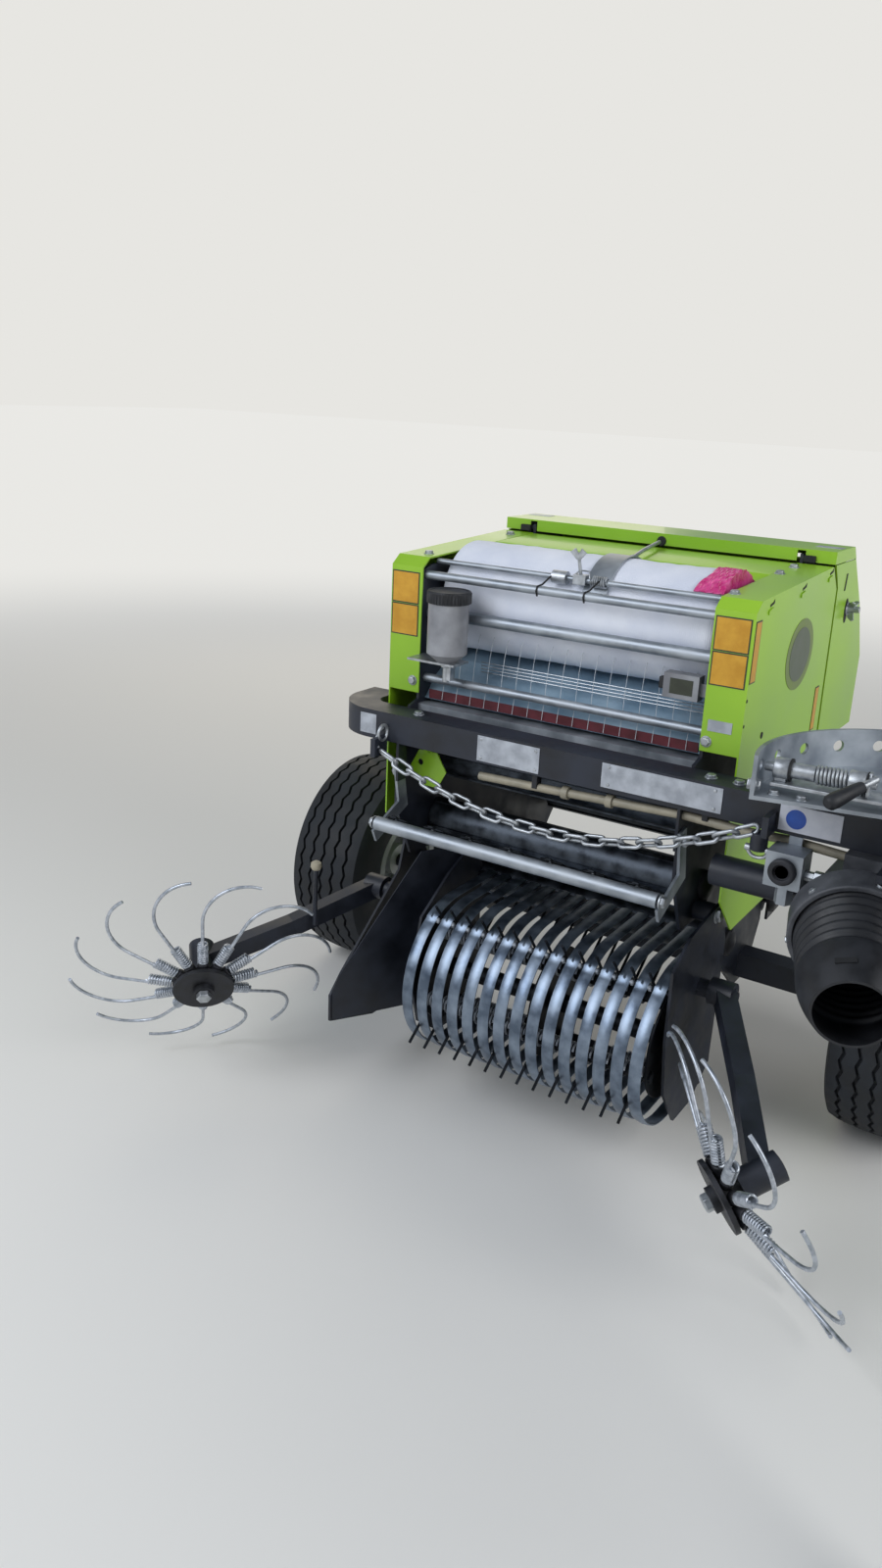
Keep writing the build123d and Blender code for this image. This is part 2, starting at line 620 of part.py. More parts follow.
def jack_sleeve():
    """Square sleeve on the side of the drawbar that guides the parking jack, and its crank."""
    bore = JACK_TUBE - 2 * JACK_WALL
    top = DRAWBAR_Z + DRAWBAR_SIZE / 2
    outer = Box(JACK_TUBE, JACK_TUBE, JACK_SLEEVE_LENGTH, align=(Align.CENTER, Align.CENTER, Align.MAX))
    inner = Box(bore, bore, JACK_SLEEVE_LENGTH, align=(Align.CENTER, Align.CENTER, Align.MAX))
    cap = Box(JACK_TUBE, JACK_TUBE, 6, align=(Align.CENTER, Align.CENTER, Align.MIN))
    crank = rod((0, 0, 6), (0, 0, 40), 8) + rod((0, 0, 34), (0, CRANK_REACH + 4, 34), 7)
    crank += rod((0, CRANK_REACH, 34), (0, CRANK_REACH, 84), 9)
    return jack_place() * Pos(0, 0, top) * (outer - inner + cap + crank)


def jack_leg():
    """Inner tube of the parking jack and its round foot on the ground."""
    size = JACK_TUBE - 2 * JACK_WALL - 2 * JACK_PLAY
    length = DRAWBAR_Z - DRAWBAR_SIZE / 2 - JACK_TRAVEL_ROOM
    tube = Pos(0, 0, 8) * Box(size, size, length, align=(Align.CENTER, Align.CENTER, Align.MIN))
    foot = Cylinder(JACK_FOOT_RADIUS, 8, align=(Align.CENTER, Align.CENTER, Align.MIN))
    return jack_place() * (tube + foot)


# Gearbox

def along_pto(distance):
    """A point on the input shaft's line, at a distance in front of the gearbox."""
    direction = Vector(*PTO_DIRECTION).normalized()
    return Vector(*GEARBOX) + direction * distance


def gearbox():
    """Cast gearbox under the beam, its grey guard ring and the input stub."""
    x, y, z = GEARBOX
    case = Pos(x, y + 40, z) * Box(110, 130, 96)
    case += box_between((x - 30, y + 20, z + 48), (x + 30, y + 70, BEAM_BOTTOM))
    ring = Plane(origin=along_pto(20), z_dir=along_pto(1) - along_pto(0))
    case += extrude(ring * Circle(CONE_RADIUS), 26)
    case += extrude(ring * Circle(STUB_RADIUS), STUB_END - 20)
    return case


def shaft_cone():
    """Black ribbed cone that guards the shaft joint, open at the front, with a smooth inside."""
    points = [(CONE_RADIUS - 4, 0)]
    step = CONE_LENGTH * 0.62 / CONE_RIBS
    for index in range(CONE_RIBS):
        shrink = index * 2.8
        points.append((CONE_RADIUS + 4 - shrink, step * (index + 0.5)))
        points.append((CONE_RADIUS - 4 - shrink, step * (index + 1)))
    points.append((CONE_MOUTH, CONE_LENGTH))
    waist = points[-2]
    inner = [(CONE_MOUTH - 4, CONE_LENGTH), (waist[0] - 4, waist[1]), (CONE_RADIUS - 9, 0)]
    cone = revolve(make_face(Plane.XZ * Polyline(*points, *inner, close=True)), axis=Axis.Z)
    place = Plane(origin=along_pto(46), z_dir=along_pto(1) - along_pto(0))
    return place.location * cone


def drive_shaft():
    """Enclosed cross shaft from the gearbox to the left chain drive."""
    x, y, z = GEARBOX
    return rod((COVER_OUTER, y + 75, z - 12), (x - 55, y + 75, z - 12), 26)


def valve_block():
    """Galvanised hydraulic block with a round cap, and the hexagon fitting under it."""
    x, y, z = VALVE_BLOCK
    half, depth = 28, 24
    block = box_between((x - half, y - depth, z - half), (x + half, y + depth, z + half))
    cap = rod((x, y - depth, z), (x, y - depth - 6, z), 19)
    fitting = extrude(Pos(x, y, z - half - 32) * RegularPolygon(14, 6), 32)
    hanger = box_between((x - 10, y + depth, z - 6), (x + 10, y + depth + 8, BEAM_BOTTOM))
    return block + cap + fitting + hanger


# Chain

def slot_outline(length, height, corners=3):
    """Corners of a slot's outline along X, with each round end cut into that many flats."""
    radius = height / 2
    reach = length / 2 - radius
    turns = [math.radians(-90 + 180 * index / corners) for index in range(corners + 1)]
    right = [(reach + radius * math.cos(turn), radius * math.sin(turn)) for turn in turns]
    return right + [(-x, -z) for x, z in right]


def link(wire):
    """One long link of square-cornered wire, lying along X."""
    outer = slot_outline(LINK_INNER_LENGTH + 2 * wire, LINK_INNER_WIDTH + 2 * wire)
    inner = slot_outline(LINK_INNER_LENGTH, LINK_INNER_WIDTH)
    ring = make_face(Polyline(*outer, close=True)) - make_face(Polyline(*inner, close=True))
    return Pos(0, 0, -wire / 2) * extrude(ring, wire)


def chain():
    """Safety chain hung across the front between two lugs of the beam."""
    pitch = LINK_INNER_LENGTH - LINK_PLAY
    shares = [index / CHAIN_STEPS for index in range(CHAIN_STEPS + 1)]
    (x_start, z_start), (x_end, z_end) = CHAIN_START, CHAIN_END
    curve = [(x_start + (x_end - x_start) * t, z_start + (z_end - z_start) * t - 4 * CHAIN_SAG * t * (1 - t))
             for t in shares]
    trail = [CHAIN_START]
    travelled = 0.0
    for before, point in zip(curve, curve[1:]):
        travelled += math.dist(before, point)
        if travelled >= pitch * len(trail):
            trail.append(point)
    single = link(CHAIN_WIRE)
    pieces = []
    for index, ((x0, z0), (x1, z1)) in enumerate(zip(trail, trail[1:])):
        tilt = math.degrees(math.atan2(z1 - z0, x1 - x0))
        roll = 90 if index % 2 else 0
        place = Pos((x0 + x1) / 2, CHAIN_Y, (z0 + z1) / 2) * Rot(0, -tilt, 0) * Rot(roll + 45, 0, 0)
        pieces.append(place * single)
    return group(pieces)


def chain_lugs():
    """Lugs on the beam's front face that the end links hang from."""
    lugs = []
    for x, z in ((CHAIN_START[0] - 18, CHAIN_START[1]), (CHAIN_END[0] + 8, CHAIN_END[1])):
        lugs.append(box_between((x, CHAIN_Y - 12, z - 10), (x + 10, BEAM_FRONT_Y, z + 24)))
    return group(lugs)


# Pickup

def band_profile(radius):
    """Side view of the band cage: a half circle round the reel and straight runs to the rear."""
    circle = Pos(REEL_Y, REEL_Z) * Circle(radius)
    length = BAND_REAR_Y - REEL_Y
    return circle + Pos(REEL_Y + length / 2, REEL_Z) * Rectangle(length, 2 * radius)


def bands():
    """The stripper bands that wrap the reel, open at the rear."""
    length = BAND_REAR_Y - REEL_Y
    inside = Pos(REEL_Y, REEL_Z) * Circle(BAND_RADIUS - BAND_SHEET)
    inside += Pos(REEL_Y + length, REEL_Z) * Rectangle(2 * length, 2 * (BAND_RADIUS - BAND_SHEET))
    strip = extrude(Plane.YZ * (band_profile(BAND_RADIUS) - inside), BAND_WIDTH, dir=(1, 0, 0))
    first = BAND_FIRST_X - BAND_WIDTH / 2
    return group([Pos(first + index * BAND_PITCH, 0, 0) * strip for index in range(BAND_COUNT)])


def pickup_plate(front, x_low):
    """One side plate of the pickup, with its bored pivot ear and the given (y, z) front edge."""
    ear = [(PICKUP_PIVOT_Y + 24, PICKUP_PIVOT_Z - 6), (PICKUP_PIVOT_Y + 12, PICKUP_PIVOT_Z + 18),
           (PICKUP_PIVOT_Y - 14, PICKUP_PIVOT_Z + 16)]
    x_high = x_low + PICKUP_PLATE
    plate = outline_plate(ear + front + [(40, 104), (116, 150), (124, 400)], x_low, x_high)
    return plate - rod((x_low, PICKUP_PIVOT_Y, PICKUP_PIVOT_Z), (x_high, PICKUP_PIVOT_Y, PICKUP_PIVOT_Z),
                       PICKUP_PIN_RADIUS + PIN_CLEARANCE)


def reel_shaft(radius):
    """The reel's shaft between the outer faces of its two end plates, or its bore."""
    low, high = REEL_END_X - PICKUP_PLATE, PICKUP_PLATE_INNER + PICKUP_PLATE
    return rod((low, REEL_Y, REEL_Z), (high, REEL_Y, REEL_Z), radius)


def pickup_frame():
    """Side plates of the pickup round the reel, the reel's inner end plate with its slanting wing,
    the rake pivots, and the two rails under the bands."""
    left_front = [(-60, 470), (-125, 430), (-125, 300), (-105, 190), (-40, 104)]
    right_front = [(20, 396), (-166, 240), (-200, 205), (-200, 150), (-60, 104)]
    whole = pickup_plate(left_front, PICKUP_PLATE_INNER)
    whole += pickup_plate(right_front, -PICKUP_PLATE_INNER - PICKUP_PLATE)
    end_plate = [(60, 476), (-20, 440), (-110, 380), (-140, 259), (-110, 160), (-40, 108), (40, 104),
                 (105, 150), (105, 420)]
    whole += outline_plate(end_plate, REEL_END_X - PICKUP_PLATE, REEL_END_X)
    whole -= reel_shaft(REEL_SHAFT_RADIUS + PIN_CLEARANCE)
    wing_low = Vector(-PICKUP_PLATE_INNER - 2, -194, 0)
    wing_high = Vector(REEL_END_X - PICKUP_PLATE / 2, 60, 0)
    along = wing_high - wing_low
    run = along.length
    wing = Plane(origin=wing_low, x_dir=along, z_dir=along.cross(Vector(0, 0, 1)))
    edge = [(0, 150), (0, 212), (12, 240), (run * 0.62, 476), (run, 476), (run, 150)]
    whole += extrude(wing * make_face(Polyline(*edge, close=True)), WING_SHEET)
    x, y, z = RAKE_PIVOT
    for side in (-1, 1):
        face = side * (PICKUP_PLATE_INNER + PICKUP_PLATE)
        shoulder = side * (x - 26)
        whole += rod((face, y, z), (shoulder, y, z), 16)
        whole += rod((shoulder, y, z), (side * (x + 24), y, z), PICKUP_PIN_RADIUS)
    span = PICKUP_PLATE_INNER
    top = REEL_Z + BAND_RADIUS - BAND_SHEET
    low = REEL_Z - BAND_RADIUS + BAND_SHEET
    whole += box_between((-span, BAND_REAR_Y - 17, top - 5), (span, BAND_REAR_Y, top))
    return whole + box_between((-span, BAND_REAR_Y - 17, low), (span, BAND_REAR_Y, low + 5))


def reel_point(radius, turn):
    """A point in the middle plane of the machine, at a radius and turn round the reel."""
    return Vector(0, REEL_Y + radius * math.cos(turn), REEL_Z + radius * math.sin(turn))


def reel():
    """Tine reel: shaft, three discs, four tine bars and a trailing tine in every gap between the bands."""
    whole = reel_shaft(REEL_SHAFT_RADIUS)
    for x in (BAND_FIRST_X, (BAND_FIRST_X + BAND_LAST_X) / 2, BAND_LAST_X):
        whole += rod((x - 2, REEL_Y, REEL_Z), (x + 2, REEL_Y, REEL_Z), REEL_DISC_RADIUS)
    for bar in range(TINE_BARS):
        turn = math.radians(360 * bar / TINE_BARS + 20)
        root = reel_point(TINE_BAR_CIRCLE, turn)
        along = reel_point(TINE_TIP_CIRCLE, turn + TINE_TRAIL) - root
        section = Plane(origin=(BAND_FIRST_X - 6, root.Y, root.Z), x_dir=along, z_dir=(1, 0, 0))
        bar_length = BAND_LAST_X - BAND_FIRST_X + 12
        whole += extrude(section * Rectangle(TINE_BAR_SIZE, TINE_BAR_SIZE), bar_length, dir=(1, 0, 0))
        for gap in range(BAND_COUNT - 1):
            foot = Vector(BAND_FIRST_X + BAND_PITCH * (gap + 0.5), root.Y, root.Z)
            tine = Plane(origin=foot, z_dir=along) * RegularPolygon(TINE_RADIUS, 6)
            whole += extrude(tine, along.length, dir=along)
    return whole


# Wind guard

def wind_guard():
    """Tube across the front of the pickup on two bent flat bars that swing on bolts under the beam."""
    tube = rod((GUARD_LOW_X, GUARD_TUBE_Y, GUARD_TUBE_Z), (GUARD_HIGH_X, GUARD_TUBE_Y, GUARD_TUBE_Z),
               GUARD_TUBE_RADIUS)
    half = GUARD_BAR_WIDTH / 2
    path = [(GUARD_PIVOT_Y - half - 3, GUARD_PIVOT_Z + 16), (GUARD_PIVOT_Y, GUARD_PIVOT_Z - 60),
            (GUARD_TUBE_Y - 10, GUARD_TUBE_Z - half)]
    for x in (GUARD_LOW_X - GUARD_BAR, GUARD_HIGH_X):
        bar = bent_sheet(path, GUARD_BAR_WIDTH, x, x + GUARD_BAR)
        bar -= rod((x, GUARD_PIVOT_Y, GUARD_PIVOT_Z), (x + GUARD_BAR, GUARD_PIVOT_Y, GUARD_PIVOT_Z),
                   GUARD_PIN_RADIUS + PIN_CLEARANCE)
        tube += bar
    return tube


def guard_tines():
    """Spring wire fingers that hang from the wind guard and lay the crop down."""
    fingers = []
    count = 14
    pitch = (GUARD_HIGH_X - GUARD_LOW_X - 40) / (count - 1)
    for index in range(count):
        x = GUARD_LOW_X + 20 + index * pitch
        along = Vector(0, 96, -62)
        start = Vector(x, GUARD_TUBE_Y, GUARD_TUBE_Z) + along.normalized() * GUARD_TUBE_RADIUS
        face = Plane(origin=start, z_dir=along) * RegularPolygon(2.6, 6)
        fingers.append(extrude(face, along.length, dir=along))
    return group(fingers)


# Side rakes

def star_plane():
    """Local frame of the left rake wheel: +Z out of its face."""
    return Plane(origin=STAR_HUB, z_dir=STAR_NORMAL, x_dir=(0, 0, 1))


def star_hub():
    """Hub disc of a rake wheel with the bearing tube behind it."""
    disc = Cylinder(STAR_DISC_RADIUS, STAR_DISC, align=(Align.CENTER, Align.CENTER, Align.MIN))
    disc += Cylinder(20, STAR_DISC + 10, align=(Align.CENTER, Align.CENTER, Align.MIN))
    disc += Pos(0, 0, -30) * Cylinder(14, 30, align=(Align.CENTER, Align.CENTER, Align.MIN))
    return star_plane().location * disc


def star_tine():
    """One rake tine: coil, straight run and the hooked wire that trails from it, along +X."""
    coil = Pos(COIL_START - 3, 0, -4) * Rot(0, 90, 0) * extrude(RegularPolygon(COIL_RADIUS, 8), COIL_LENGTH)
    start = COIL_START - 3 + COIL_LENGTH
    points = [(start - 6, 0), (start + STAR_STRAIGHT, 0)]
    steps = 5
    for index in range(1, steps + 1):
        turn = math.radians(STAR_CURVE_ANGLE * index / steps)
        points.append((start + STAR_STRAIGHT + STAR_CURVE * math.sin(turn),
                       STAR_CURVE * (1 - math.cos(turn))))
    lifted = [(x, y, COIL_RADIUS - 8) for x, y in points]
    path = Polyline(*lifted)
    section = Plane(origin=lifted[0], z_dir=(1, 0, 0), x_dir=(0, 1, 0)) * RegularPolygon(STAR_WIRE, 6)
    wire = sweep(section, path=path, transition=Transition.RIGHT)
    return Rot(0, STAR_LEAN, 0) * (coil + wire)


def star_tines():
    """All spring tines round one rake wheel."""
    single = star_tine()
    pieces = []
    for index in range(STAR_TINES):
        pieces.append(star_plane().location * Rot(0, 0, 360 * index / STAR_TINES) * Pos(0, 0, 3) * single)
    return group(pieces)


def rake_arm():
    """Bent square tube from the pickup to the rake wheel, with its bearing tube."""
    x, y, z = RAKE_PIVOT
    normal = Vector(*STAR_NORMAL).normalized()
    back = Vector(*STAR_HUB) - normal * (30 + BEARING_LENGTH / 2)
    path = Polyline((x, y, z), RAKE_BEND, tuple(back))
    along = Vector(*RAKE_BEND) - Vector(x, y, z)
    section = Plane(origin=(x, y, z), z_dir=along, x_dir=(0, 0, 1)) * Rectangle(ARM_SIZE, ARM_SIZE)
    arm = sweep(section, path=path, transition=Transition.RIGHT)
    arm += rod((x - 24, y, z), (x + 18, y, z), 24)
    arm -= rod((x - 24, y, z), (x + 60, y, z), 10 + PIN_CLEARANCE)
    bearing = Plane(origin=Vector(*STAR_HUB) - normal * (30 + BEARING_LENGTH + 6), z_dir=normal)
    arm += extrude(bearing * Circle(BEARING_RADIUS), BEARING_LENGTH + 6)
    shaft = Plane(origin=Vector(*STAR_HUB) - normal * 60, z_dir=normal)
    arm -= extrude(shaft * Circle(14 + PIN_CLEARANCE), 40)
    return arm


def tag_plate():
    """Green six-sided plate with a hole that hangs under the beam behind the chain."""
    edge = [(-40, 0), (-22, 34), (18, 34), (40, 0), (22, -34), (-18, -34)]
    plate = extrude(make_face(Polyline(*edge, close=True)) - Pos(-18, 10) * Circle(6), SHEET)
    hung = Pos(TAG_X, BEAM_REAR_Y + 6, BEAM_BOTTOM - 58) * Rot(90, 0, 0) * plate
    strap = box_between((TAG_X - 6, BEAM_REAR_Y - 6, BEAM_BOTTOM - 24),
                        (TAG_X + 4, BEAM_REAR_Y + 6, BEAM_BOTTOM))
    return hung + strap


def build():
    """Every node of the machine by name."""
    parts = {}
    parts["frame_right"], parts["frame_left"] = both_sides(frame_plate())
    parts["cover_right"], parts["cover_left"] = both_sides(cover())
    parts["rollers_front"] = rollers(FRONT_ROLLER_ANGLES, FRAME_INNER)
    parts["cross_beam"] = cross_beam()
    parts["axle"] = axle()
    parts["net_rods"] = net_rods()
    parts["net_roll"] = net_roll()
    parts["net_tray"] = net_tray()
    parts["net_brake"] = net_brake()
    parts["front_angle"] = front_angle()
    parts["oiler"] = oiler()
    parts["oiler_lid"] = oiler_lid()
    parts["oiler_bracket"] = oiler_bracket()
    parts["counter"] = counter()
    parts["quadrant"] = quadrant()
    parts["gearbox"] = gearbox()
    parts["shaft_cone"] = shaft_cone()
    parts["drive_shaft"] = drive_shaft()
    parts["valve_block"] = valve_block()
    parts["chain"] = chain()
    parts["chain_lugs"] = chain_lugs()
    parts["tyre_right"], parts["tyre_left"] = both_sides(tyre())
    parts["rim_right"], parts["rim_left"] = both_sides(rim())
    parts["gate_frame_right"], parts["gate_frame_left"] = both_sides(gate_frame())
    parts["gate_cover_right"], parts["gate_cover_left"] = both_sides(gate_cover())
    parts["gate_back"] = gate_back()
    parts["gate_hood"] = gate_hood()
    parts["rollers_rear"] = rollers(REAR_ROLLER_ANGLES, GATE_INNER)
    parts["drawbar"] = drawbar()
    parts["tow_eye"] = tow_eye()
    parts["index_lever"] = index_lever()
    parts["jack_sleeve"] = jack_sleeve()
    parts["jack_leg"] = jack_leg()
    parts["pickup_frame"] = pickup_frame()
    parts["pickup_bands"] = bands()
    parts["pickup_reel"] = reel()
    parts["wind_guard"] = wind_guard()
    parts["guard_tines"] = guard_tines()
    parts["rake_arm_right"], parts["rake_arm_left"] = both_sides(rake_arm())
    parts["star_hub_right"], parts["star_hub_left"] = both_sides(star_hub())
    parts["star_tines_right"], parts["star_tines_left"] = both_sides(star_tines())
    parts["tag_plate"] = tag_plate()
    return parts


PARTS = build()
LOW = [min(getattr(part.bounding_box().min, side) for part in PARTS.values()) for side in "XYZ"]
HIGH = [max(getattr(part.bounding_box().max, side) for part in PARTS.values()) for side in "XYZ"]
TO_BASE = (-(LOW[0] + HIGH[0]) / 2, -(LOW[1] + HIGH[1]) / 2, -LOW[2])
print("lowest", LOW, "highest", HIGH, "moved by", TO_BASE)

os.makedirs("parts", exist_ok=True)
for name, part in PARTS.items():
    export_step(Pos(*TO_BASE) * part, f"parts/{name}.step")
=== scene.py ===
import bmesh
import bpy
import numpy as np
from mathutils import Matrix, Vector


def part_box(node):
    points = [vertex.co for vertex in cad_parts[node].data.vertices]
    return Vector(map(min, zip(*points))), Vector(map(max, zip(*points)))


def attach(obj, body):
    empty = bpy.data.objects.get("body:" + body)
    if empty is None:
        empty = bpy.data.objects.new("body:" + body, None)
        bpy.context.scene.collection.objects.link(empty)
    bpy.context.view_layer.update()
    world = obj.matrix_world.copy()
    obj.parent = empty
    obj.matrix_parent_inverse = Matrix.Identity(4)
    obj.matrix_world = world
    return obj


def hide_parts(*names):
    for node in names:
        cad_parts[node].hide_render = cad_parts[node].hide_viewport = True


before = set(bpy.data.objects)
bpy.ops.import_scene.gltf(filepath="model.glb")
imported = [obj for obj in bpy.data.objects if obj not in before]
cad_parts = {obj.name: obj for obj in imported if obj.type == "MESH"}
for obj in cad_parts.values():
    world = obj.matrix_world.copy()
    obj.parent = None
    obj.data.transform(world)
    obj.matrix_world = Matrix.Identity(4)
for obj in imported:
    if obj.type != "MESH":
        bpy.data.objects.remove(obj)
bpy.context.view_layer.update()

# Datum of the machine: the middle of its covers across, their front face and the ground. Places below
# are metres from it: +X the machine's left side, +Y to the rear and +Z up.
hood_low, hood_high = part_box("gate_hood")
DATUM = np.array([(hood_low.x + hood_high.x) / 2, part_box("cover_right")[0].y, 0.0])


def at(*point):
    """A place measured from the datum, in the shared frame: datum plus point."""
    return DATUM + np.array(point, float)


# Camera, daylight and floor. The view is from above the machine's left front corner, a step back from the
# drawbar, with a slight roll. A broad soft lamp on each side of the viewer stands for open sky, and a warm
# one behind the machine for low sun.
AZIMUTH, ELEVATION, ROLL = np.radians([32.43, 18.46, -2.63])
CAMERA_PLACE = at(0.92615, -1.80348, 1.3196)
LENS_MM, FILM_WIDTH_MM, NEAREST = 27.11, 36.0, 0.05
CREAM_FLOOR, PALE_SKY, SKY_LIGHT, SKY_STRENGTH = "#E9E7E2", "#E7E6E2", "#C9D3DF", 0.42

forward = np.array([
    -np.sin(AZIMUTH) * np.cos(ELEVATION), np.cos(AZIMUTH) * np.cos(ELEVATION), -np.sin(ELEVATION)])
level_right = np.array([np.cos(AZIMUTH), np.sin(AZIMUTH), 0.0])
level_down = np.cross(forward, level_right)
camera_right = np.cos(ROLL) * level_right + np.sin(ROLL) * level_down
camera_down = -np.sin(ROLL) * level_right + np.cos(ROLL) * level_down

camera = bpy.data.objects.new("camera", bpy.data.cameras.new("camera"))
camera.data.lens = LENS_MM
camera.data.sensor_width = FILM_WIDTH_MM
camera.data.clip_start = NEAREST
pose = np.eye(4)
pose[:3, :3] = np.column_stack([camera_right, -camera_down, -forward])
pose[:3, 3] = CAMERA_PLACE
camera.matrix_world = Matrix(pose.tolist())
bpy.context.scene.collection.objects.link(camera)
bpy.context.scene.camera = camera
bpy.context.scene.view_settings.view_transform = "Standard"


def unit(vector):
    """Vector over its length, for one vector or rows of vectors."""
    vector = np.asarray(vector, float)
    return vector / np.linalg.norm(vector, axis=-1, keepdims=True)


def srgb(code):
    """Linear RGBA of a hex colour: c / 12.92 below 0.04045, else ((c + 0.055) / 1.055) to the power 2.4."""
    channels = np.array([int(code[i:i + 2], 16) for i in (1, 3, 5)]) / 255
    linear = np.where(channels <= 0.04045, channels / 12.92, ((channels + 0.055) / 1.055) ** 2.4)
    return (*linear.tolist(), 1.0)


def lamp(name, place, target, width, watts, colour):
    """A square area lamp at a place, facing a target: its -Z axis runs along target minus place."""
    light = bpy.data.objects.new(name, bpy.data.lights.new(name, "AREA"))
    light.data.size = width
    light.data.energy = watts
    light.data.color = srgb(colour)[:3]
    back = unit(place - target)
    side = unit(np.cross([0.0, 0.0, 1.0], back))
    turn = np.eye(4)
    turn[:3, :3] = np.column_stack([side, np.cross(back, side), back])
    turn[:3, 3] = place
    light.matrix_world = Matrix(turn.tolist())
    bpy.context.scene.collection.objects.link(light)


lamp("sky_front", at(-1.6, -3.2, 3.0), at(0.0, 0.0, 0.5), 2.6, 105.0, "#F4F8FF")
lamp("sky_left", at(3.4, -0.6, 2.4), at(0.0, 0.2, 0.5), 2.4, 62.0, "#FFFFFF")
lamp("sun_rear", at(-2.4, 3.0, 2.6), at(0.0, 0.2, 0.6), 3.0, 36.0, "#FFF3DC")


def add(tree, kind, settings=(), values=(), links=()):
    """A new node. Settings are its properties, values its inputs' numbers, links what feeds its inputs."""
    node = tree.nodes.new(kind)
    for name, value in dict(settings).items():
        setattr(node, name, value)
    for name, value in dict(values).items():
        node.inputs[name].default_value = value
    for name, socket in dict(links).items():
        tree.links.new(socket, node.inputs[name])
    return node


# What the camera and glass see of the world is the pale sky; what lights the machine is a dimmer, bluer one.
world = bpy.data.worlds.new("daylight")
world.use_nodes = True
bpy.context.scene.world = world
backdrop = world.node_tree.nodes["Background"]
rays = add(world.node_tree, "ShaderNodeLightPath")
seen = add(world.node_tree, "ShaderNodeMath", {"operation": "MAXIMUM"}, links={
    0: rays.outputs["Is Camera Ray"], 1: rays.outputs["Is Transmission Ray"]})
sky = add(world.node_tree, "ShaderNodeMix", {"data_type": "RGBA"}, {6: srgb(SKY_LIGHT), 7: srgb(PALE_SKY)},
          {0: seen.outputs[0]})
level = add(world.node_tree, "ShaderNodeMapRange", values={"To Min": SKY_STRENGTH, "To Max": 1.0},
            links={"Value": seen.outputs[0]})
world.node_tree.links.new(sky.outputs[2], backdrop.inputs["Color"])
world.node_tree.links.new(level.outputs[0], backdrop.inputs["Strength"])

# The floor is cream under the machine and fades into the sky's own tone far from it.
FLOOR_HALF, FADE_START, FADE_END = 40.0, 2.2, 7.5
floor_mesh = bpy.data.meshes.new("floor")
floor_corners = [(x * FLOOR_HALF, y * FLOOR_HALF, 0) for x, y in ((-1, -1), (1, -1), (1, 1), (-1, 1))]
floor_mesh.from_pydata(floor_corners, [], [(0, 1, 2, 3)])
floor = bpy.data.objects.new("floor", floor_mesh)
bpy.context.scene.collection.objects.link(floor)
floor_paint = bpy.data.materials.new("pale_floor")
floor_paint.use_nodes = True
floor_tree = floor_paint.node_tree
floor_shader = floor_tree.nodes["Principled BSDF"]
floor_shader.inputs["Roughness"].default_value = 0.9
reach = add(floor_tree, "ShaderNodeVectorMath", {"operation": "LENGTH"},
            links={0: add(floor_tree, "ShaderNodeTexCoord").outputs["Object"]})
fade = add(floor_tree, "ShaderNodeMapRange", {"interpolation_type": "SMOOTHSTEP"},
           {"From Min": FADE_START, "From Max": FADE_END}, {"Value": reach.outputs["Value"]})
floor_tone = add(floor_tree, "ShaderNodeMix", {"data_type": "RGBA"},
                 {6: srgb(CREAM_FLOOR), 7: srgb("#000000")}, {0: fade.outputs[0]})
floor_tree.links.new(floor_tone.outputs[2], floor_shader.inputs["Base Color"])
floor_shader.inputs["Emission Color"].default_value = srgb(PALE_SKY)
floor_tree.links.new(fade.outputs[0], floor_shader.inputs["Emission Strength"])
floor_mesh.materials.append(floor_paint)


# Chamber frames, beam and axle. The real ones are steel plate and box section, welded, then sprayed with a
# satin black primer and top coat that dusts over in use. The lighter, blue-grey of its two tones is painted
# sky reflection, and the paint is duller in patches.
def mottled(name, tones, patch, roughness, grain, height, metallic=0.0, coat=0.0):
    """A surface in two tones mixed by noise of the patch size, its roughness between two values by the same
    noise, and a bump of noise of the grain size and that height. Patch, grain and height are metres. The
    noise mostly lies between 0.35 and 0.68, and that range is stretched over both tones."""
    material = bpy.data.materials.new(name)
    material.use_nodes = True
    tree = material.node_tree
    shader = tree.nodes["Principled BSDF"]
    shader.inputs["Metallic"].default_value = metallic
    shader.inputs["Coat Weight"].default_value = coat
    place = add(tree, "ShaderNodeTexCoord").outputs["Object"]
    cloud = add(tree, "ShaderNodeTexNoise", values={"Scale": 1 / patch, "Detail": 6.0},
                links={"Vector": place})
    share = add(tree, "ShaderNodeMapRange", values={"From Min": 0.35, "From Max": 0.68},
                links={"Value": cloud.outputs["Fac"]})
    tone = add(tree, "ShaderNodeMix", {"data_type": "RGBA", "label": "tone"},
               {6: srgb(tones[0]), 7: srgb(tones[1])}, {0: share.outputs[0]})
    gloss = add(tree, "ShaderNodeMapRange", values={"To Min": roughness[0], "To Max": roughness[1]},
                links={"Value": share.outputs[0]})
    fine = add(tree, "ShaderNodeTexNoise", values={"Scale": 1 / grain, "Detail": 3.0},
               links={"Vector": place})
    relief = add(tree, "ShaderNodeBump", values={"Distance": height, "Strength": 1.0},
                 links={"Height": fine.outputs["Fac"]})
    tree.links.new(tone.outputs[2], shader.inputs["Base Color"])
    tree.links.new(gloss.outputs[0], shader.inputs["Roughness"])
    tree.links.new(relief.outputs[0], shader.inputs["Normal"])
    return material


def dress(material, *names):
    """Gives CAD nodes one material in place of their own."""
    for name in names:
        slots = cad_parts[name].data.materials
        slots.clear()
        slots.append(material)
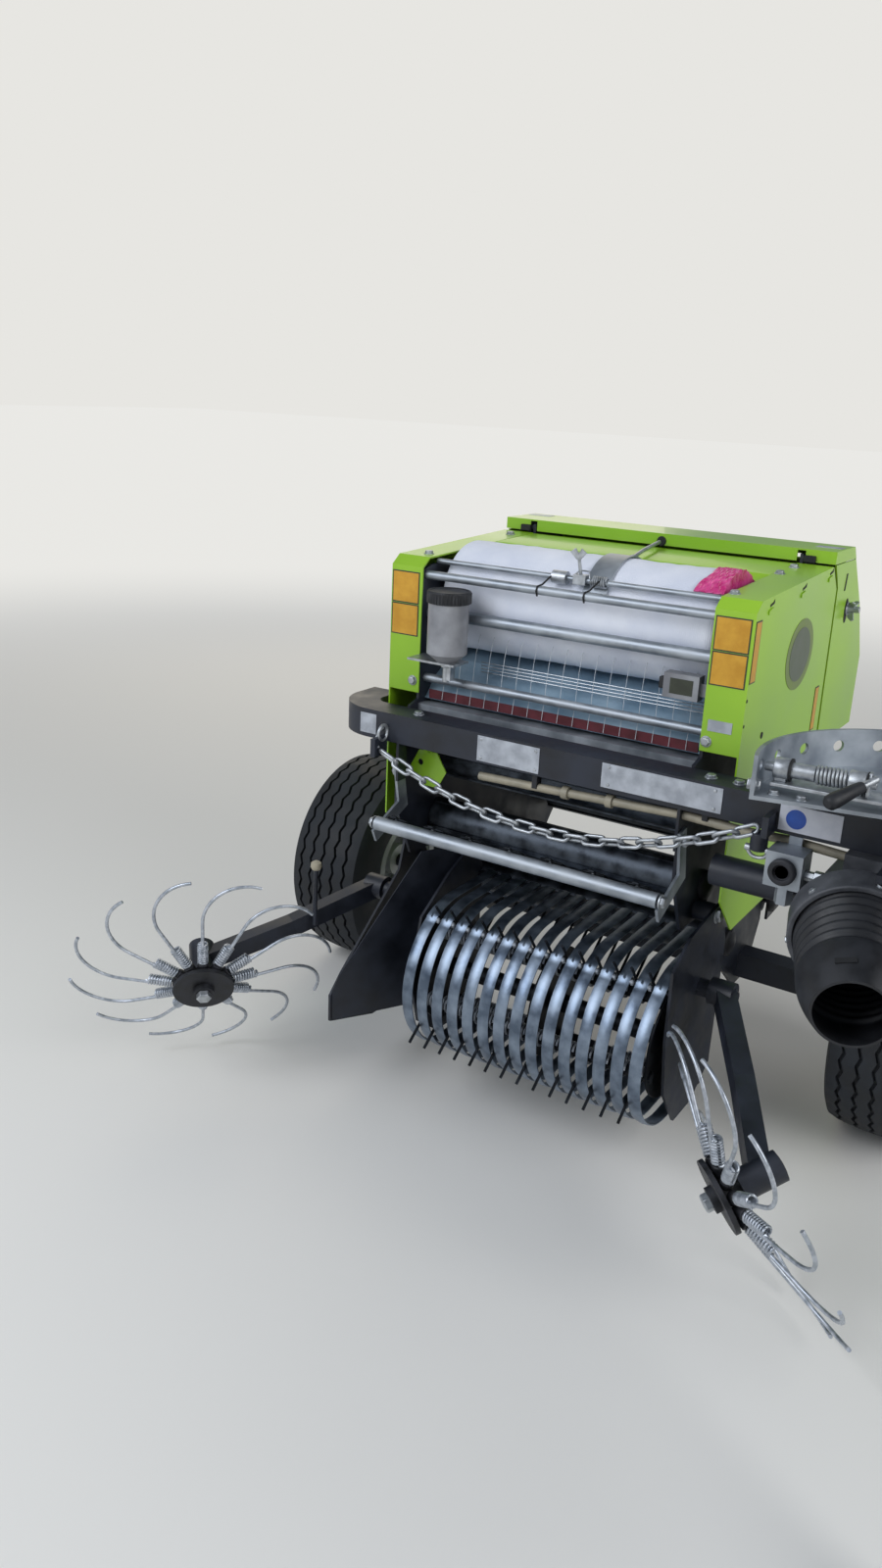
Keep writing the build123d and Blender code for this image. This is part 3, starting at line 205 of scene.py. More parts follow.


# The lighter, blue-grey tone of this black paint is painted sky reflection, mixed in by noise.
black_paint = mottled("satin_black_machine_paint", ("#14171F", "#262B37"), 0.06,
                        (0.36, 0.58), 0.004, 0.00008)
dress(black_paint, "frame_right", "frame_left", "cross_beam", "axle", "gate_frame_right", "gate_frame_left",
      "drawbar", "rake_arm_right", "rake_arm_left", "pickup_frame", "chain_lugs", "jack_sleeve")


# Green covers and rear gate. The real ones are folded sheet, powder coated lime green, screwed to the side
# frames from above and in front, with film signs, hooked tabs, rubber stops and a wing nut on the gate.
def skin(points, around=True, capped=True, closed=False):
    """Quads between the rows of a grid of points. Around joins the ends of a row, closed joins the last row
    to the first, and capped closes the first and last row with one face each."""
    rows, columns = points.shape[:2]
    i, j = np.meshgrid(np.arange(rows if closed else rows - 1),
                       np.arange(columns if around else columns - 1), indexing="ij")
    i_next, j_next = (i + 1) % rows, (j + 1) % columns
    here, beyond = i * columns, i_next * columns
    quads = np.stack([here + j, here + j_next, beyond + j_next, beyond + j], -1)
    faces = quads.reshape(-1, 4).tolist()
    if capped and not closed:
        faces.append(list(range(columns)))
        faces.append([(rows - 1) * columns + c for c in range(columns)][::-1])
    return points.reshape(-1, 3), faces


def turned(profile, centre, axis, sides=32, closed=False):
    """A profile of (along, radius) pairs turned about an axis: centre + along * axis + radius * (cos u +
    sin v), with u and v square to the axis. Closed joins the profile's end to its start."""
    axis = unit(axis)
    u = unit(np.cross(axis, [0.0, 0.0, 1.0] if abs(axis[2]) < 0.9 else [1.0, 0.0, 0.0]))
    v = np.cross(axis, u)
    along, radius = np.array(profile, float).T
    turn = 2 * np.pi * np.arange(sides) / sides
    ring = np.cos(turn)[:, None] * u + np.sin(turn)[:, None] * v
    points = np.asarray(centre) + along[:, None, None] * axis + radius[:, None, None] * ring
    return skin(points, closed=closed)


def slab(outline, origin, across, upward, thickness):
    """A flat plate: an outline of (a, b) pairs at origin + a * across + b * upward, as thick as given along
    their cross product."""
    across, upward = unit(across), unit(upward)
    flat = np.asarray(origin) + np.array(outline, float) @ np.stack([across, upward])
    return skin(np.stack([flat, flat + np.cross(across, upward) * thickness]))


def oblong(a0, b0, a1, b1):
    """Corners of a rectangle between two opposite ones."""
    return [(a0, b0), (a1, b0), (a1, b1), (a0, b1)]


def block(low, high):
    """A cuboid between two corners."""
    (x0, y0, z0), (x1, y1, z1) = low, high
    return slab(oblong(x0, y0, x1, y1), (0, 0, z0), (1, 0, 0), (0, 1, 0), z1 - z0)


def hexagon_bolt(centre, axis, size, height):
    """A hexagon head of that half width across corners, chamfered on top, on a round washer a quarter wider,
    standing along the axis."""
    axis = unit(axis)
    head = turned([(0.0, size), (0.8 * height, size), (height, 0.86 * size), (height, 0.0)], centre, axis, 6)
    washer = turned([(-0.001, 1.25 * size), (0.0012, 1.25 * size), (0.0012, 0.0)], centre, axis, 20)
    return [head, washer]


def bolts(places, size=0.0085, height=0.006):
    """Bolt heads at (place, axis) pairs measured from the datum."""
    return [shape for place, axis in places for shape in hexagon_bolt(at(*place), axis, size, height)]


def ray(angle):
    """The direction of an angle, or of each angle in an array: (cos, sin)."""
    return np.stack([np.cos(angle), np.sin(angle)], -1)


def oval(radius_a, radius_b, sides=48):
    """Corners of an ellipse: (a cos t, b sin t)."""
    return [radius_a, radius_b] * ray(2 * np.pi * np.arange(sides) / sides)


def sheet_sign(origin, across, upward, width, height, lift, inset=0.0):
    """A thin rectangle on a face: its lower corner at origin, inset on all sides and raised by lift."""
    return slab(oblong(inset, inset, width - inset, height - inset), at(*origin), across, upward, lift)


def piece(name, shapes, material, corner=0.0, body="chassis", angle=40.0):
    """One object from several closed shapes: doubles merged, faces turned outwards, corners rounded by a
    bevel of that width, edges sharper than the angle kept sharp, and riding on a body."""
    mesh = bpy.data.meshes.new(name)
    offset, points, faces = 0, [], []
    for vertices, quads in shapes:
        points.append(vertices)
        faces += [[v + offset for v in face] for face in quads]
        offset += len(vertices)
    mesh.from_pydata(np.concatenate(points).tolist(), [], faces)
    form = bmesh.new()
    form.from_mesh(mesh)
    bmesh.ops.remove_doubles(form, verts=form.verts, dist=1e-6)
    bmesh.ops.dissolve_degenerate(form, edges=form.edges, dist=1e-7)
    bmesh.ops.recalc_face_normals(form, faces=form.faces)
    form.to_mesh(mesh)
    form.free()
    mesh.shade_smooth()
    mesh.set_sharp_from_angle(angle=np.radians(angle))
    mesh.materials.append(material)
    made = bpy.data.objects.new(name, mesh)
    bpy.context.scene.collection.objects.link(made)
    if corner:
        rounding = made.modifiers.new("rounding", "BEVEL")
        rounding.width = corner
        rounding.segments = 2
        rounding.limit_method = "ANGLE"
    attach(made, body)
    return made


SIDE = hood_high.x - DATUM[0]
SIGN_LIFT, FIELD_LIFT, SIGN_EDGE = 0.0006, 0.00096, 0.0022

# Across and upward on each face
TO_FRONT = ((1, 0, 0), (0, 0, 1))
TO_LEFT = ((0, 1, 0), (0, 0, 1))
TO_TOP = ((1, 0, 0), (0, 1, 0))

# Powder coat is even with a soft sheen, printed film is flat and dull, and moulded rubber is matt. Zinc
# plating shines in small clouds, and etched aluminium is pale and silky.
green = mottled("lime_green_powder_coat", ("#86B61C", "#9AC72E"), 0.3, (0.3, 0.46), 0.0022,
                  0.00004, coat=0.2)
amber = mottled("amber_printed_film", ("#C08A1E", "#D09C2C"), 0.02, (0.35, 0.5), 0.0006, 0.00001)
dark_ink = mottled("dark_printed_film", ("#2E3226", "#3A3F30"), 0.02, (0.4, 0.55), 0.0006, 0.00001)
oval_rim = mottled("grey_green_printed_film", ("#667A3C", "#72863F"), 0.03, (0.4, 0.5), 0.0006, 0.00001)
oval_field = mottled("grey_printed_film", ("#4C5748", "#586350"), 0.03, (0.4, 0.5), 0.0006, 0.00001)
rubber = mottled("black_moulded_rubber", ("#101113", "#1C1D20"), 0.01, (0.6, 0.8), 0.001, 0.00005)
bright_zinc = mottled("bright_zinc_plated_steel", ("#9EA2A6", "#C4C8CC"), 0.012, (0.36, 0.52),
                        0.0008, 0.00001, 0.9)
aluminium = mottled("etched_aluminium_plate", ("#9EA3AC", "#BFC4CC"), 0.02, (0.38, 0.55),
                      0.0006, 0.00001, 0.6)
dress(green, "cover_right", "cover_left", "gate_cover_right", "gate_cover_left", "gate_back", "gate_hood",
      "tag_plate")

# Signs: lower corner, face, width, height
signs = [((-0.346, 0.0, 0.881), TO_FRONT, 0.060, 0.059), ((-0.346, 0.0, 0.941), TO_FRONT, 0.060, 0.059),
         ((0.283, 0.0, 0.887), TO_FRONT, 0.060, 0.056), ((0.283, 0.0, 0.944), TO_FRONT, 0.060, 0.056),
         ((SIDE, 0.003, 0.896), TO_LEFT, 0.027, 0.101), ((SIDE, 0.400, 0.735), TO_LEFT, 0.024, 0.085)]
borders = [sheet_sign(corner, *face, width, height, SIGN_LIFT) for corner, face, width, height in signs]
fields = [sheet_sign(corner, *face, width, height, FIELD_LIFT, SIGN_EDGE)
          for corner, face, width, height in signs]
piece("sign_borders", borders, dark_ink)
piece("sign_fields", fields, amber)

OVAL_PLACE, OVAL_RADII, FIELD_RADII = at(SIDE, 0.263, 0.905), (0.075, 0.0635), (0.057, 0.04826)
piece("oval_rim", [slab(oval(*OVAL_RADII), OVAL_PLACE, *TO_LEFT, SIGN_LIFT)], oval_rim)
piece("oval_field", [slab(oval(*FIELD_RADII), OVAL_PLACE, *TO_LEFT, FIELD_LIFT)], oval_field)

cover_plate = sheet_sign((0.290, 0.0, 0.811), *TO_FRONT, 0.041, 0.019, 0.001)
piece("cover_plate", [cover_plate], aluminium)
hood_signs = [sheet_sign((x, y, hood_high.z), *TO_TOP, 0.050, 0.026, SIGN_LIFT)
              for x, y in ((-0.343, 0.500), (0.292, 0.468))]
piece("hood_signs", hood_signs, aluminium, body="gate")

# The covers' top rises to the rear between two folds: y, z
FRONT_FOLD, REAR_FOLD = (0.022, 1.027), (0.408, 1.044)
COVER_SLOPE = (REAR_FOLD[1] - FRONT_FOLD[1]) / (REAR_FOLD[0] - FRONT_FOLD[0])
top_bolts = [(-0.303, 0.053), (-0.305, 0.358), (0.290, 0.053), (0.290, 0.277), (0.290, 0.356)]
cover_bolts = [((x, y, FRONT_FOLD[1] + (y - FRONT_FOLD[0]) * COVER_SLOPE), (0, -COVER_SLOPE, 1))
               for x, y in top_bolts]
cover_bolts += [((0.290, 0.0, 0.792), (0, -1, 0)), ((-0.294, 0.0, 0.797), (0, -1, 0))]
piece("cover_bolts", bolts(cover_bolts, 0.0078), bright_zinc, 0.0006)

slots, tabs = [], []
# Hooked tabs in their slots: y, z
for y, z in ((0.061, 1.013), (0.228, 1.021), (0.387, 1.031)):
    slots.append(slab([(0, 0), (0.020, 0.004), (0.020, 0.011), (0.013, 0.007), (0, 0.004)], at(SIDE, y, z),
                      *TO_LEFT, 0.0005))
    tabs.append(slab([(-0.006, -0.012), (0.014, -0.007), (0.014, -0.001), (-0.006, -0.005)],
                     at(SIDE, y, z), *TO_LEFT, 0.0022))
# Round holes: y, z, radius
for y, z, radius in ((0.004, 0.869, 0.003), (0.004, 0.827, 0.003), (0.105, 0.791, 0.006)):
    slots.append(turned([(-0.001, radius), (0.0006, radius), (0.0006, 0.0)], at(SIDE, y, z), (1, 0, 0), 20))
piece("cover_slots", slots, rubber)
piece("cover_tabs", tabs, green, 0.0006)

# Sheet across the chamber between the covers, behind the net roll: y, z of its outline
SHEET_HALF = 0.279
top_line = [(0.250, 1.012), (0.258, 1.0358), (0.262, 1.0376), (0.408, 1.0428), (0.408, 1.0408),
            (0.263, 1.0356), (0.2595, 1.0340), (0.252, 1.012)]
top_sheet = slab(top_line, at(-SHEET_HALF, 0, 0), (0, 1, 0), (0, 0, 1), 2 * SHEET_HALF)
piece("chamber_top_sheet", [top_sheet], green, angle=50.0)
stops = [block(at(x - 0.011, 0.4095, 1.046), at(x + 0.011, 0.4185, 1.059)) for x in (-0.300, 0.300)]
piece("hood_stops", stops, rubber, 0.0015, body="gate")
grommet = turned([(-0.0005, 0.010), (0.003, 0.009), (0.003, 0.0)], at(0.005, 0.416, 1.055), (0, -1, 0), 24)
piece("hood_grommet", [grommet], rubber, 0.0006, body="gate")

LATCH = at(SIDE, 0.545, 0.951)
latch_slots = [slab(oval(0.011, 0.024), at(SIDE, 0.536, 0.948), *TO_LEFT, 0.0006),
               slab([(-0.004, -0.016), (0.004, -0.016), (0.010, 0.016), (0.002, 0.016)],
                    at(SIDE, 0.504, 1.006), *TO_LEFT, 0.0006)]
piece("latch_slots", latch_slots, rubber, body="gate")
wings = [turned([(0.0, 0.013), (0.002, 0.013), (0.002, 0.009), (0.014, 0.0065), (0.024, 0.006), (0.024, 0.0)],
                LATCH, (1, 0, 0), 24)]
for lean in (0.6, 2.4, 4.3):
    out = np.array([0.0, *ray(lean)])
    wings.append(slab([(0.004, 0.002), (0.017, 0.004), (0.024, 0.012), (0.021, 0.018), (0.004, 0.013)],
                      LATCH - 0.0015 * np.cross(out, (1, 0, 0)), out, (1, 0, 0), 0.003))
piece("latch_wing_nut", wings, bright_zinc, 0.0008, body="gate")


# Bearing flanges of the chamber rollers. The real ones are two-bolt castings on the outside of each side
# plate, in line with the roller shafts. Cast iron is dark and grainy, and the rollers are worn brighter.
CHAMBER, ROLLER_CIRCLE = np.array([0.362, 0.600]), 0.290
cast_iron = mottled("dark_cast_iron", ("#1B1C1E", "#33343A"), 0.02, (0.45, 0.65), 0.002, 0.0002, 0.3)

# Rollers of the fixed half and of the gate: body, the plate's outer face, angles round the chamber
roller_groups = {"front": ("chassis", 0.286, (199, 250)), "rear": ("gate", 0.296, (297, 323, 349, 15))}
for name, (body, face, angles) in roller_groups.items():
    flanges = []
    for angle in np.radians(angles):
        y, z = CHAMBER + ROLLER_CIRCLE * ray(angle)
        for side in (-1, 1):
            flanges.append(turned([(-0.0005, 0.028), (0.006, 0.028), (0.012, 0.021), (0.014, 0.008),
                                   (0.016, 0.0)], at(side * face, y, z), (side, 0, 0), 28))
            bolt_places = [((side * (face + 0.006), y, z + dz), (side, 0, 0)) for dz in (-0.023, 0.023)]
            flanges += bolts(bolt_places, 0.005, 0.004)
    piece(name + "_bearing_flanges", flanges, cast_iron, body=body)
roller_steel = mottled("worn_roller_steel", ("#2B2F35", "#5B626B"), 0.03, (0.32, 0.55), 0.003, 0.0001, 0.9)
dress(roller_steel, "rollers_front", "rollers_rear")


# Net bay. A knitted white net comes off a roll on a card core between two galvanised rods, is braked by a
# bent strip under a spring and a wing handle, and runs down over a galvanised tray. Jar and counter are
# plastic.
def helix(start, end, radius, turns, steps=14):
    """Points of a coil from start to end: radius * (cos u + sin v) at even angles, moving along the axis."""
    start, end = np.asarray(start), np.asarray(end)
    axis = unit(end - start)
    u = unit(np.cross(axis, [0.0, 0.3, 1.0]))
    v = np.cross(axis, u)
    share = np.linspace(0, 1, int(turns * steps) + 1)[:, None]
    turn = 2 * np.pi * turns * share
    return start + (end - start) * share + radius * (np.cos(turn) * u + np.sin(turn) * v)


def wire(path, radius, up, sides=8, closed=False):
    """A round wire: circles of that radius square to the path, measured from side = tangent x up."""
    path = np.asarray(path, float)
    if closed:
        tangent = unit(np.roll(path, -1, axis=0) - np.roll(path, 1, axis=0))
    else:
        tangent = unit(np.gradient(path, axis=0))
    side = unit(np.cross(tangent, up))
    other = np.cross(side, tangent)
    turn = 2 * np.pi * np.arange(sides) / sides
    ring = np.cos(turn)[None, :, None] * side[:, None] + np.sin(turn)[None, :, None] * other[:, None]
    return skin(path[:, None] + np.broadcast_to(radius, len(path))[:, None, None] * ring, closed=closed)


def coil(start, end, radius, wire_radius, turns, steps=14, sides=6):
    """A coil spring: a round wire along a helix."""
    start, end = np.asarray(start), np.asarray(end)
    return wire(helix(start, end, radius, turns, steps), wire_radius, end - start, sides)


def pin(start, end, radius):
    """Profile of a plain cylinder between two places along its axis."""
    return [(start, 0.0), (start, radius), (end, radius), (end, 0.0)]


def stands_for(finished, name):
    """The finished piece takes the place of a plain CAD node, which gets the same material."""
    dress(finished.data.materials[0], name)
    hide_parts(name)


ROLL_PLACE, ROLL_RADIUS, ROLL_HALF = (0.145, 0.948), 0.104, 0.263
THREAD_PITCH = 0.0035

# Knitted net is soft white with rows of thread round the roll, which stand as far apart as they need to
# show. Wave bands repeat every 2 pi / (20 * scale) metres. Film is glossy and crumpled, card is matt, and
# hot-dip zinc is pale grey with darker clouds.
zinc = mottled("hot_dip_galvanised_steel", ("#8B929A", "#B4BAC0"), 0.05, (0.4, 0.6), 0.006, 0.00008, 0.8)
net_white = mottled("knitted_white_net", ("#D6DBE8", "#E8EBF3"), 0.09, (0.6, 0.8), 0.0016, 0.0003)
tree = net_white.node_tree
place = add(tree, "ShaderNodeTexCoord").outputs["Object"]
threads = add(tree, "ShaderNodeTexWave", {"bands_direction": "X"},
              {"Scale": 2 * np.pi / (20 * THREAD_PITCH), "Distortion": 1.2, "Detail": 1.0}, {"Vector": place})
thread_relief = add(tree, "ShaderNodeBump", values={"Distance": 0.0004, "Strength": 0.6},
                    links={"Height": threads.outputs["Fac"]})
tree.links.new(thread_relief.outputs[0], tree.nodes["Principled BSDF"].inputs["Normal"])
pink_film = mottled("pink_wrapping_film", ("#C22B74", "#E25A9C"), 0.015, (0.25, 0.45), 0.004, 0.0004)
card = mottled("brown_card", ("#6E5237", "#86684A"), 0.02, (0.8, 0.9), 0.002, 0.0001)

# The roll swells a little along and round its surface, and its two edges are rounded off.
along = np.linspace(-ROLL_HALF, ROLL_HALF, 90)
turn = 2 * np.pi * np.arange(160) / 160
round_ripple = 3 * turn + 9.0 * np.sin(along * 21.0)[:, None]
swell = 0.0006 * np.sin(along * 37.0)[:, None] + 0.0004 * np.sin(round_ripple)
edge_round = 0.003 * np.exp(-(ROLL_HALF - abs(along)) / 0.0025)[:, None]
radius = ROLL_RADIUS - 0.0012 + swell - edge_round
roll_grid = np.stack([np.broadcast_to(along[:, None], radius.shape), ROLL_PLACE[0] + radius * np.cos(turn),
                      ROLL_PLACE[1] + radius * np.sin(turn)], -1) + DATUM
net_roll = piece("net_roll_knitted", [skin(roll_grid)], net_white)
stands_for(net_roll, "net_roll")
cores = [turned([(0.0, 0.030), (0.006, 0.030), (0.006, 0.024), (0.001, 0.022), (0.001, 0.0)],
                at(side * (ROLL_HALF - 0.003), *ROLL_PLACE), (side, 0, 0), 32) for side in (-1, 1)]
piece("net_roll_core", cores, card)

# The film's cap is crumpled, ends in a slanting edge and is folded in over the roll's end from FOLD_AT on.
FILM_FROM, FILM_TO, FILM_EDGE, CRUMPLE, FOLD_AT, FOLD_DEEP = 48, 136, 0.238, 0.0016, 0.72, 0.062
share = np.linspace(0, 1, 26)[:, None]
film_turn = np.radians(np.linspace(FILM_FROM, FILM_TO, 60))[None, :]
crumple = CRUMPLE * np.sin(23 * film_turn + 45 * share) * np.sin(11 * film_turn - 19 * share) + CRUMPLE
over_end = np.clip((share - FOLD_AT) / (1 - FOLD_AT), 0, 1)
film_radius = ROLL_RADIUS + 0.0006 + crumple - FOLD_DEEP * over_end ** 1.2
film_edge = FILM_EDGE - 0.022 * (film_turn / film_turn.max()) ** 2 - 0.003 * np.sin(9 * film_turn)
film_reach = (ROLL_HALF + 0.0030 - film_edge) * np.minimum(share / FOLD_AT, 1)
film_x = film_edge + film_reach + 0.8 * (crumple - CRUMPLE)
film_grid = np.stack(np.broadcast_arrays(film_x, ROLL_PLACE[0] + film_radius * np.cos(film_turn),
                                         ROLL_PLACE[1] + film_radius * np.sin(film_turn)), -1) + DATUM
film = piece("pink_film_cap", [skin(film_grid, around=False, capped=False)], pink_film)
film_wall = film.modifiers.new("film_wall", "SOLIDIFY")
film_wall.thickness = 0.0005

BRAKE_LOW_X, BRAKE_HIGH_X, BRAKE_IN, BRAKE_OUT = 0.020, 0.066, 0.1052, 0.1078
brake_turn = np.radians(np.linspace(62, 152, 40))
section = oblong(BRAKE_LOW_X, BRAKE_IN, BRAKE_HIGH_X, BRAKE_OUT)
strip_rows = [[(x, ROLL_PLACE[0] + r * np.cos(t), ROLL_PLACE[1] + r * np.sin(t)) for x, r in section]
              for t in brake_turn]
brake = piece("net_brake_strip", [skin(np.array(strip_rows) + DATUM)], zinc, 0.0006)
stands_for(brake, "net_brake")
UPPER_ROD, ROD_END = (0.050, 1.018), (0.043, 0.196, 1.0455)
collar = turned([(0.0, 0.006), (0.0, 0.0115), (0.028, 0.0115), (0.028, 0.006), (0.0281, 0.0)],
                at(-0.038, *UPPER_ROD), (1, 0, 0), 32)
handle_foot, handle_top = at(0.016, 0.050, 1.022), at(0.012, 0.043, 1.058)
stem = wire([handle_foot, 0.5 * (handle_foot + handle_top), handle_top], 0.0030, (1, 0, 0), 12)
clamp = block(at(0.004, 0.041, 1.010), at(0.028, 0.059, 1.027))
ears = []
for lean in (-0.65, 0.65):
    out = np.array([np.sin(lean), -0.15, np.cos(lean)])
    ears.append(slab([(-0.004, 0.0), (0.004, 0.0), (0.006, 0.018), (-0.006, 0.018)],
                     handle_top + [0, 0.0015, -0.003], np.cross([0.0, 1.0, 0.0], out), out, 0.003))
link_wire = wire([at(0.036, 0.043, 1.022), at(0.030, 0.052, 1.034), at(0.010, 0.056, 1.033),
                  at(0.002, 0.050, 1.025)], 0.0016, (0, 0, 1), 8)
brake_rod = wire([at(*ROD_END), at(0.030, 0.270, 1.051), at(0.007, 0.4010, 1.0548)], 0.0038, (0, 0, 1), 12)
rod_end = turned(pin(-0.004, 0.006, 0.006), at(*ROD_END), (0, 1, 0), 16)
piece("net_brake_fittings", [collar, stem, clamp, brake_rod, rod_end, *ears, link_wire], bright_zinc,
      0.0007)
piece("net_brake_spring", [coil(at(0.038, *UPPER_ROD), at(0.066, *UPPER_ROD), 0.0088, 0.0017, 7, 18, 8)],
      bright_zinc)

ties = []
for upper_x, lower_x in ((-0.035, -0.047), (0.056, 0.044)):
    ties.append(wire([at(upper_x, 0.054, 1.0245), at(upper_x, 0.046, 1.0240),
                      at(lower_x + 0.003, 0.022, 1.0058), at(lower_x, 0.010, 1.0035),
                      at(lower_x, 0.0062, 0.996), at(lower_x, 0.011, 0.9865)], 0.0017, (1, 0, 0), 8))
piece("rod_ties", ties, rubber)
dress(zinc, "net_rods")

# The tray's zinc is smooth, and its blue-grey tones are painted reflection of the open sky; thread is dull
# white and the strip's paint dark red.
painted_sky_zinc = mottled("galvanised_sheet_painted_sky_reflection", ("#7C98AC", "#A4BCCB"), 0.07, (0.35, 0.5),
                       0.004, 0.0001, 0.35)
white_thread = mottled("white_net_thread", ("#B4BAC0", "#C8CDD1"), 0.01, (0.5, 0.7), 0.001, 0.00002)
dark_red = mottled("dark_red_paint", ("#4A141C", "#601E28"), 0.03, (0.4, 0.6), 0.002, 0.00004)
dress(painted_sky_zinc, "net_tray")
dress(zinc, "front_angle")

# Path of a thread from the roll down over the tray: y, z. It moves THREAD_DRIFT sideways per metre of drop.
THREAD_ARC = [(0.070, 0.905), (0.055, 0.884), (0.045, 0.860), (0.036, 0.830), (0.030, 0.800),
              (0.023, 0.782), (0.018, 0.765)]
THREAD_TOP, THREAD_DRIFT, THREAD_SPACING = 0.905, 1 / 14, 0.0305
threads_down = [wire([at(x + THREAD_DRIFT * (THREAD_TOP - z), y, z) for y, z in THREAD_ARC], 0.0005,
                     (1, 0, 0), 6) for x in np.arange(-8, 9) * THREAD_SPACING - 0.004]
piece("net_threads", threads_down, white_thread)
comb = [wire([at(x, 0.060, z) for x in (-0.18, 0.04, 0.262)], 0.0011, (0, 0, 1), 6)
        for z in (0.822, 0.828, 0.834, 0.840)]
piece("guide_wires", comb, bright_zinc)
red_strip = block(at(-0.270, 0.0225, 0.763), at(0.270, 0.0245, 0.780))
piece("red_strip", [red_strip], dark_red)

# Frosted plastic is milky grey with a soft shine, black moulded plastic has a fine grain.
frosted = mottled("frosted_jar_plastic", ("#74757A", "#96989C"), 0.05, (0.35, 0.55), 0.003, 0.00004)
black_plastic = mottled("black_moulded_plastic", ("#15161A", "#24262B"), 0.03, (0.45, 0.62), 0.001, 0.00006)
dress(frosted, "oiler", "counter")
JAR_X, JAR_Y, LID_LOW, LID_POINTS = -0.207, -0.021, 0.958, 180
turn = 2 * np.pi * np.arange(LID_POINTS) / LID_POINTS

# Rings of the ribbed lid: height, radius, depth of the 45 ribs
lid_rings = [(0.0, 0.0390, 0.0), (0.0006, 0.0400, 0.0008), (0.0185, 0.0400, 0.0008), (0.0200, 0.0395, 0.0),
             (0.0218, 0.0380, 0.0), (0.0218, 0.0345, 0.0), (0.0205, 0.0335, 0.0)]
lid_rows = []
for height, radius, rib in lid_rings:
    ring = radius + rib * np.sign(np.sin(45 * turn))
    level = np.full(LID_POINTS, LID_LOW + height)
    lid_rows.append(np.stack([JAR_X + ring * np.cos(turn), JAR_Y + ring * np.sin(turn), level], -1))
lid = piece("oiler_lid_ribbed", [skin(np.array(lid_rows) + DATUM)], black_plastic)
stands_for(lid, "oiler_lid")
dress(bright_zinc, "oiler_bracket")
jar_tap = turned([(0.0, 0.010), (0.012, 0.010), (0.012, 0.006), (0.040, 0.006), (0.040, 0.0)],
                 at(JAR_X, JAR_Y, 0.852), (0, 0, -1), 16)
piece("oiler_tap", [jar_tap], bright_zinc, 0.0006)
counter_face = sheet_sign((0.212, 0.014, 0.858), *TO_FRONT, 0.040, 0.026, 0.0008)
piece("counter_window", [counter_face], dark_ink)
counter_knob = block(at(0.190, 0.018, 0.862), at(0.200, 0.032, 0.882))
piece("counter_knob", [counter_knob], black_plastic, 0.002)


# Front beam with its plates, pipe and safety chain. The real beam is bent box section in black paint; the
# plates are riveted aluminium, the pipe is plastic in two black clips, and the chain is zinc plated round
# link. Printed film is flat and dull, and the old pipe has gone from cream to a dusty beige.
BEAM_FRONT, BEAM_LOW, BEAM_TOP = -0.085, 0.697, 0.751
white_film = mottled("white_printed_film", ("#C9CCD6", "#D8DAE2"), 0.02, (0.35, 0.5), 0.0006, 0.00001)
blue_film = mottled("blue_printed_film", ("#1F49A0", "#2C58B0"), 0.02, (0.35, 0.5), 0.0006, 0.00001)
cream = mottled("cream_plastic_pipe", ("#8E8877", "#A8A08C"), 0.03, (0.45, 0.6), 0.002, 0.00006)

# Riveted plates: x, z, width, height
plates = [(-0.093, 0.701, 0.124, 0.046), (0.149, 0.705, 0.209, 0.042)]
beam_plates = [sheet_sign((x, BEAM_FRONT, z), *TO_FRONT, w, h, 0.0012) for x, z, w, h in plates]
beam_plates.append(sheet_sign((-0.350, BEAM_FRONT, 0.705), *TO_FRONT, 0.036, 0.038, 0.0010))
# A rivet in each corner, at these shares of the plate's width and height
corners = [(0.06, 0.14), (0.94, 0.14), (0.06, 0.86), (0.94, 0.86)]
rivets = [turned([(0.0, 0.0032), (0.0012, 0.0026), (0.0020, 0.0)],
                 at(x + w * a, BEAM_FRONT - 0.0012, z + h * b), (0, -1, 0), 14)
          for x, z, w, h in plates for a, b in corners]
piece("beam_plates", beam_plates, aluminium)
piece("beam_rivets", rivets, bright_zinc)
LABEL_X, LABEL_Z = 0.450, 0.703
white_sign = sheet_sign((LABEL_X, BEAM_FRONT, LABEL_Z), *TO_FRONT, 0.095, 0.042, 0.0007)
blue_disc = slab(oval(0.0155, 0.0155), at(LABEL_X + 0.026, BEAM_FRONT, LABEL_Z + 0.021), *TO_FRONT, 0.0011)
piece("white_sign", [white_sign], white_film)
piece("blue_disc", [blue_disc], blue_film)

PIPE_Y, PIPE_RADIUS = -0.068, 0.0075
pipe_path = [(-0.095, 0.667), (0.05, 0.672), (0.293, 0.683), (0.40, 0.680), (0.47, 0.683), (0.556, 0.678)]
pipe = wire([at(x, PIPE_Y, z) for x, z in pipe_path], PIPE_RADIUS, (0, 1, 0), 16)
collars = [turned([(-0.006, PIPE_RADIUS), (-0.006, 0.0115), (0.006, 0.0115), (0.006, PIPE_RADIUS)],
                  at(x, PIPE_Y, z), (1, 0, 0), 24) for x, z in ((0.078, 0.6733), (0.161, 0.677))]
clips = [block(at(x - 0.005, PIPE_Y - 0.009, z), at(x + 0.005, PIPE_Y + 0.009, BEAM_LOW))
         for x, z in ((0.020, 0.670), (0.330, 0.684))]
piece("cream_pipe", [pipe, *collars], cream, 0.0006)
piece("pipe_clips", clips, black_plastic, 0.0008)

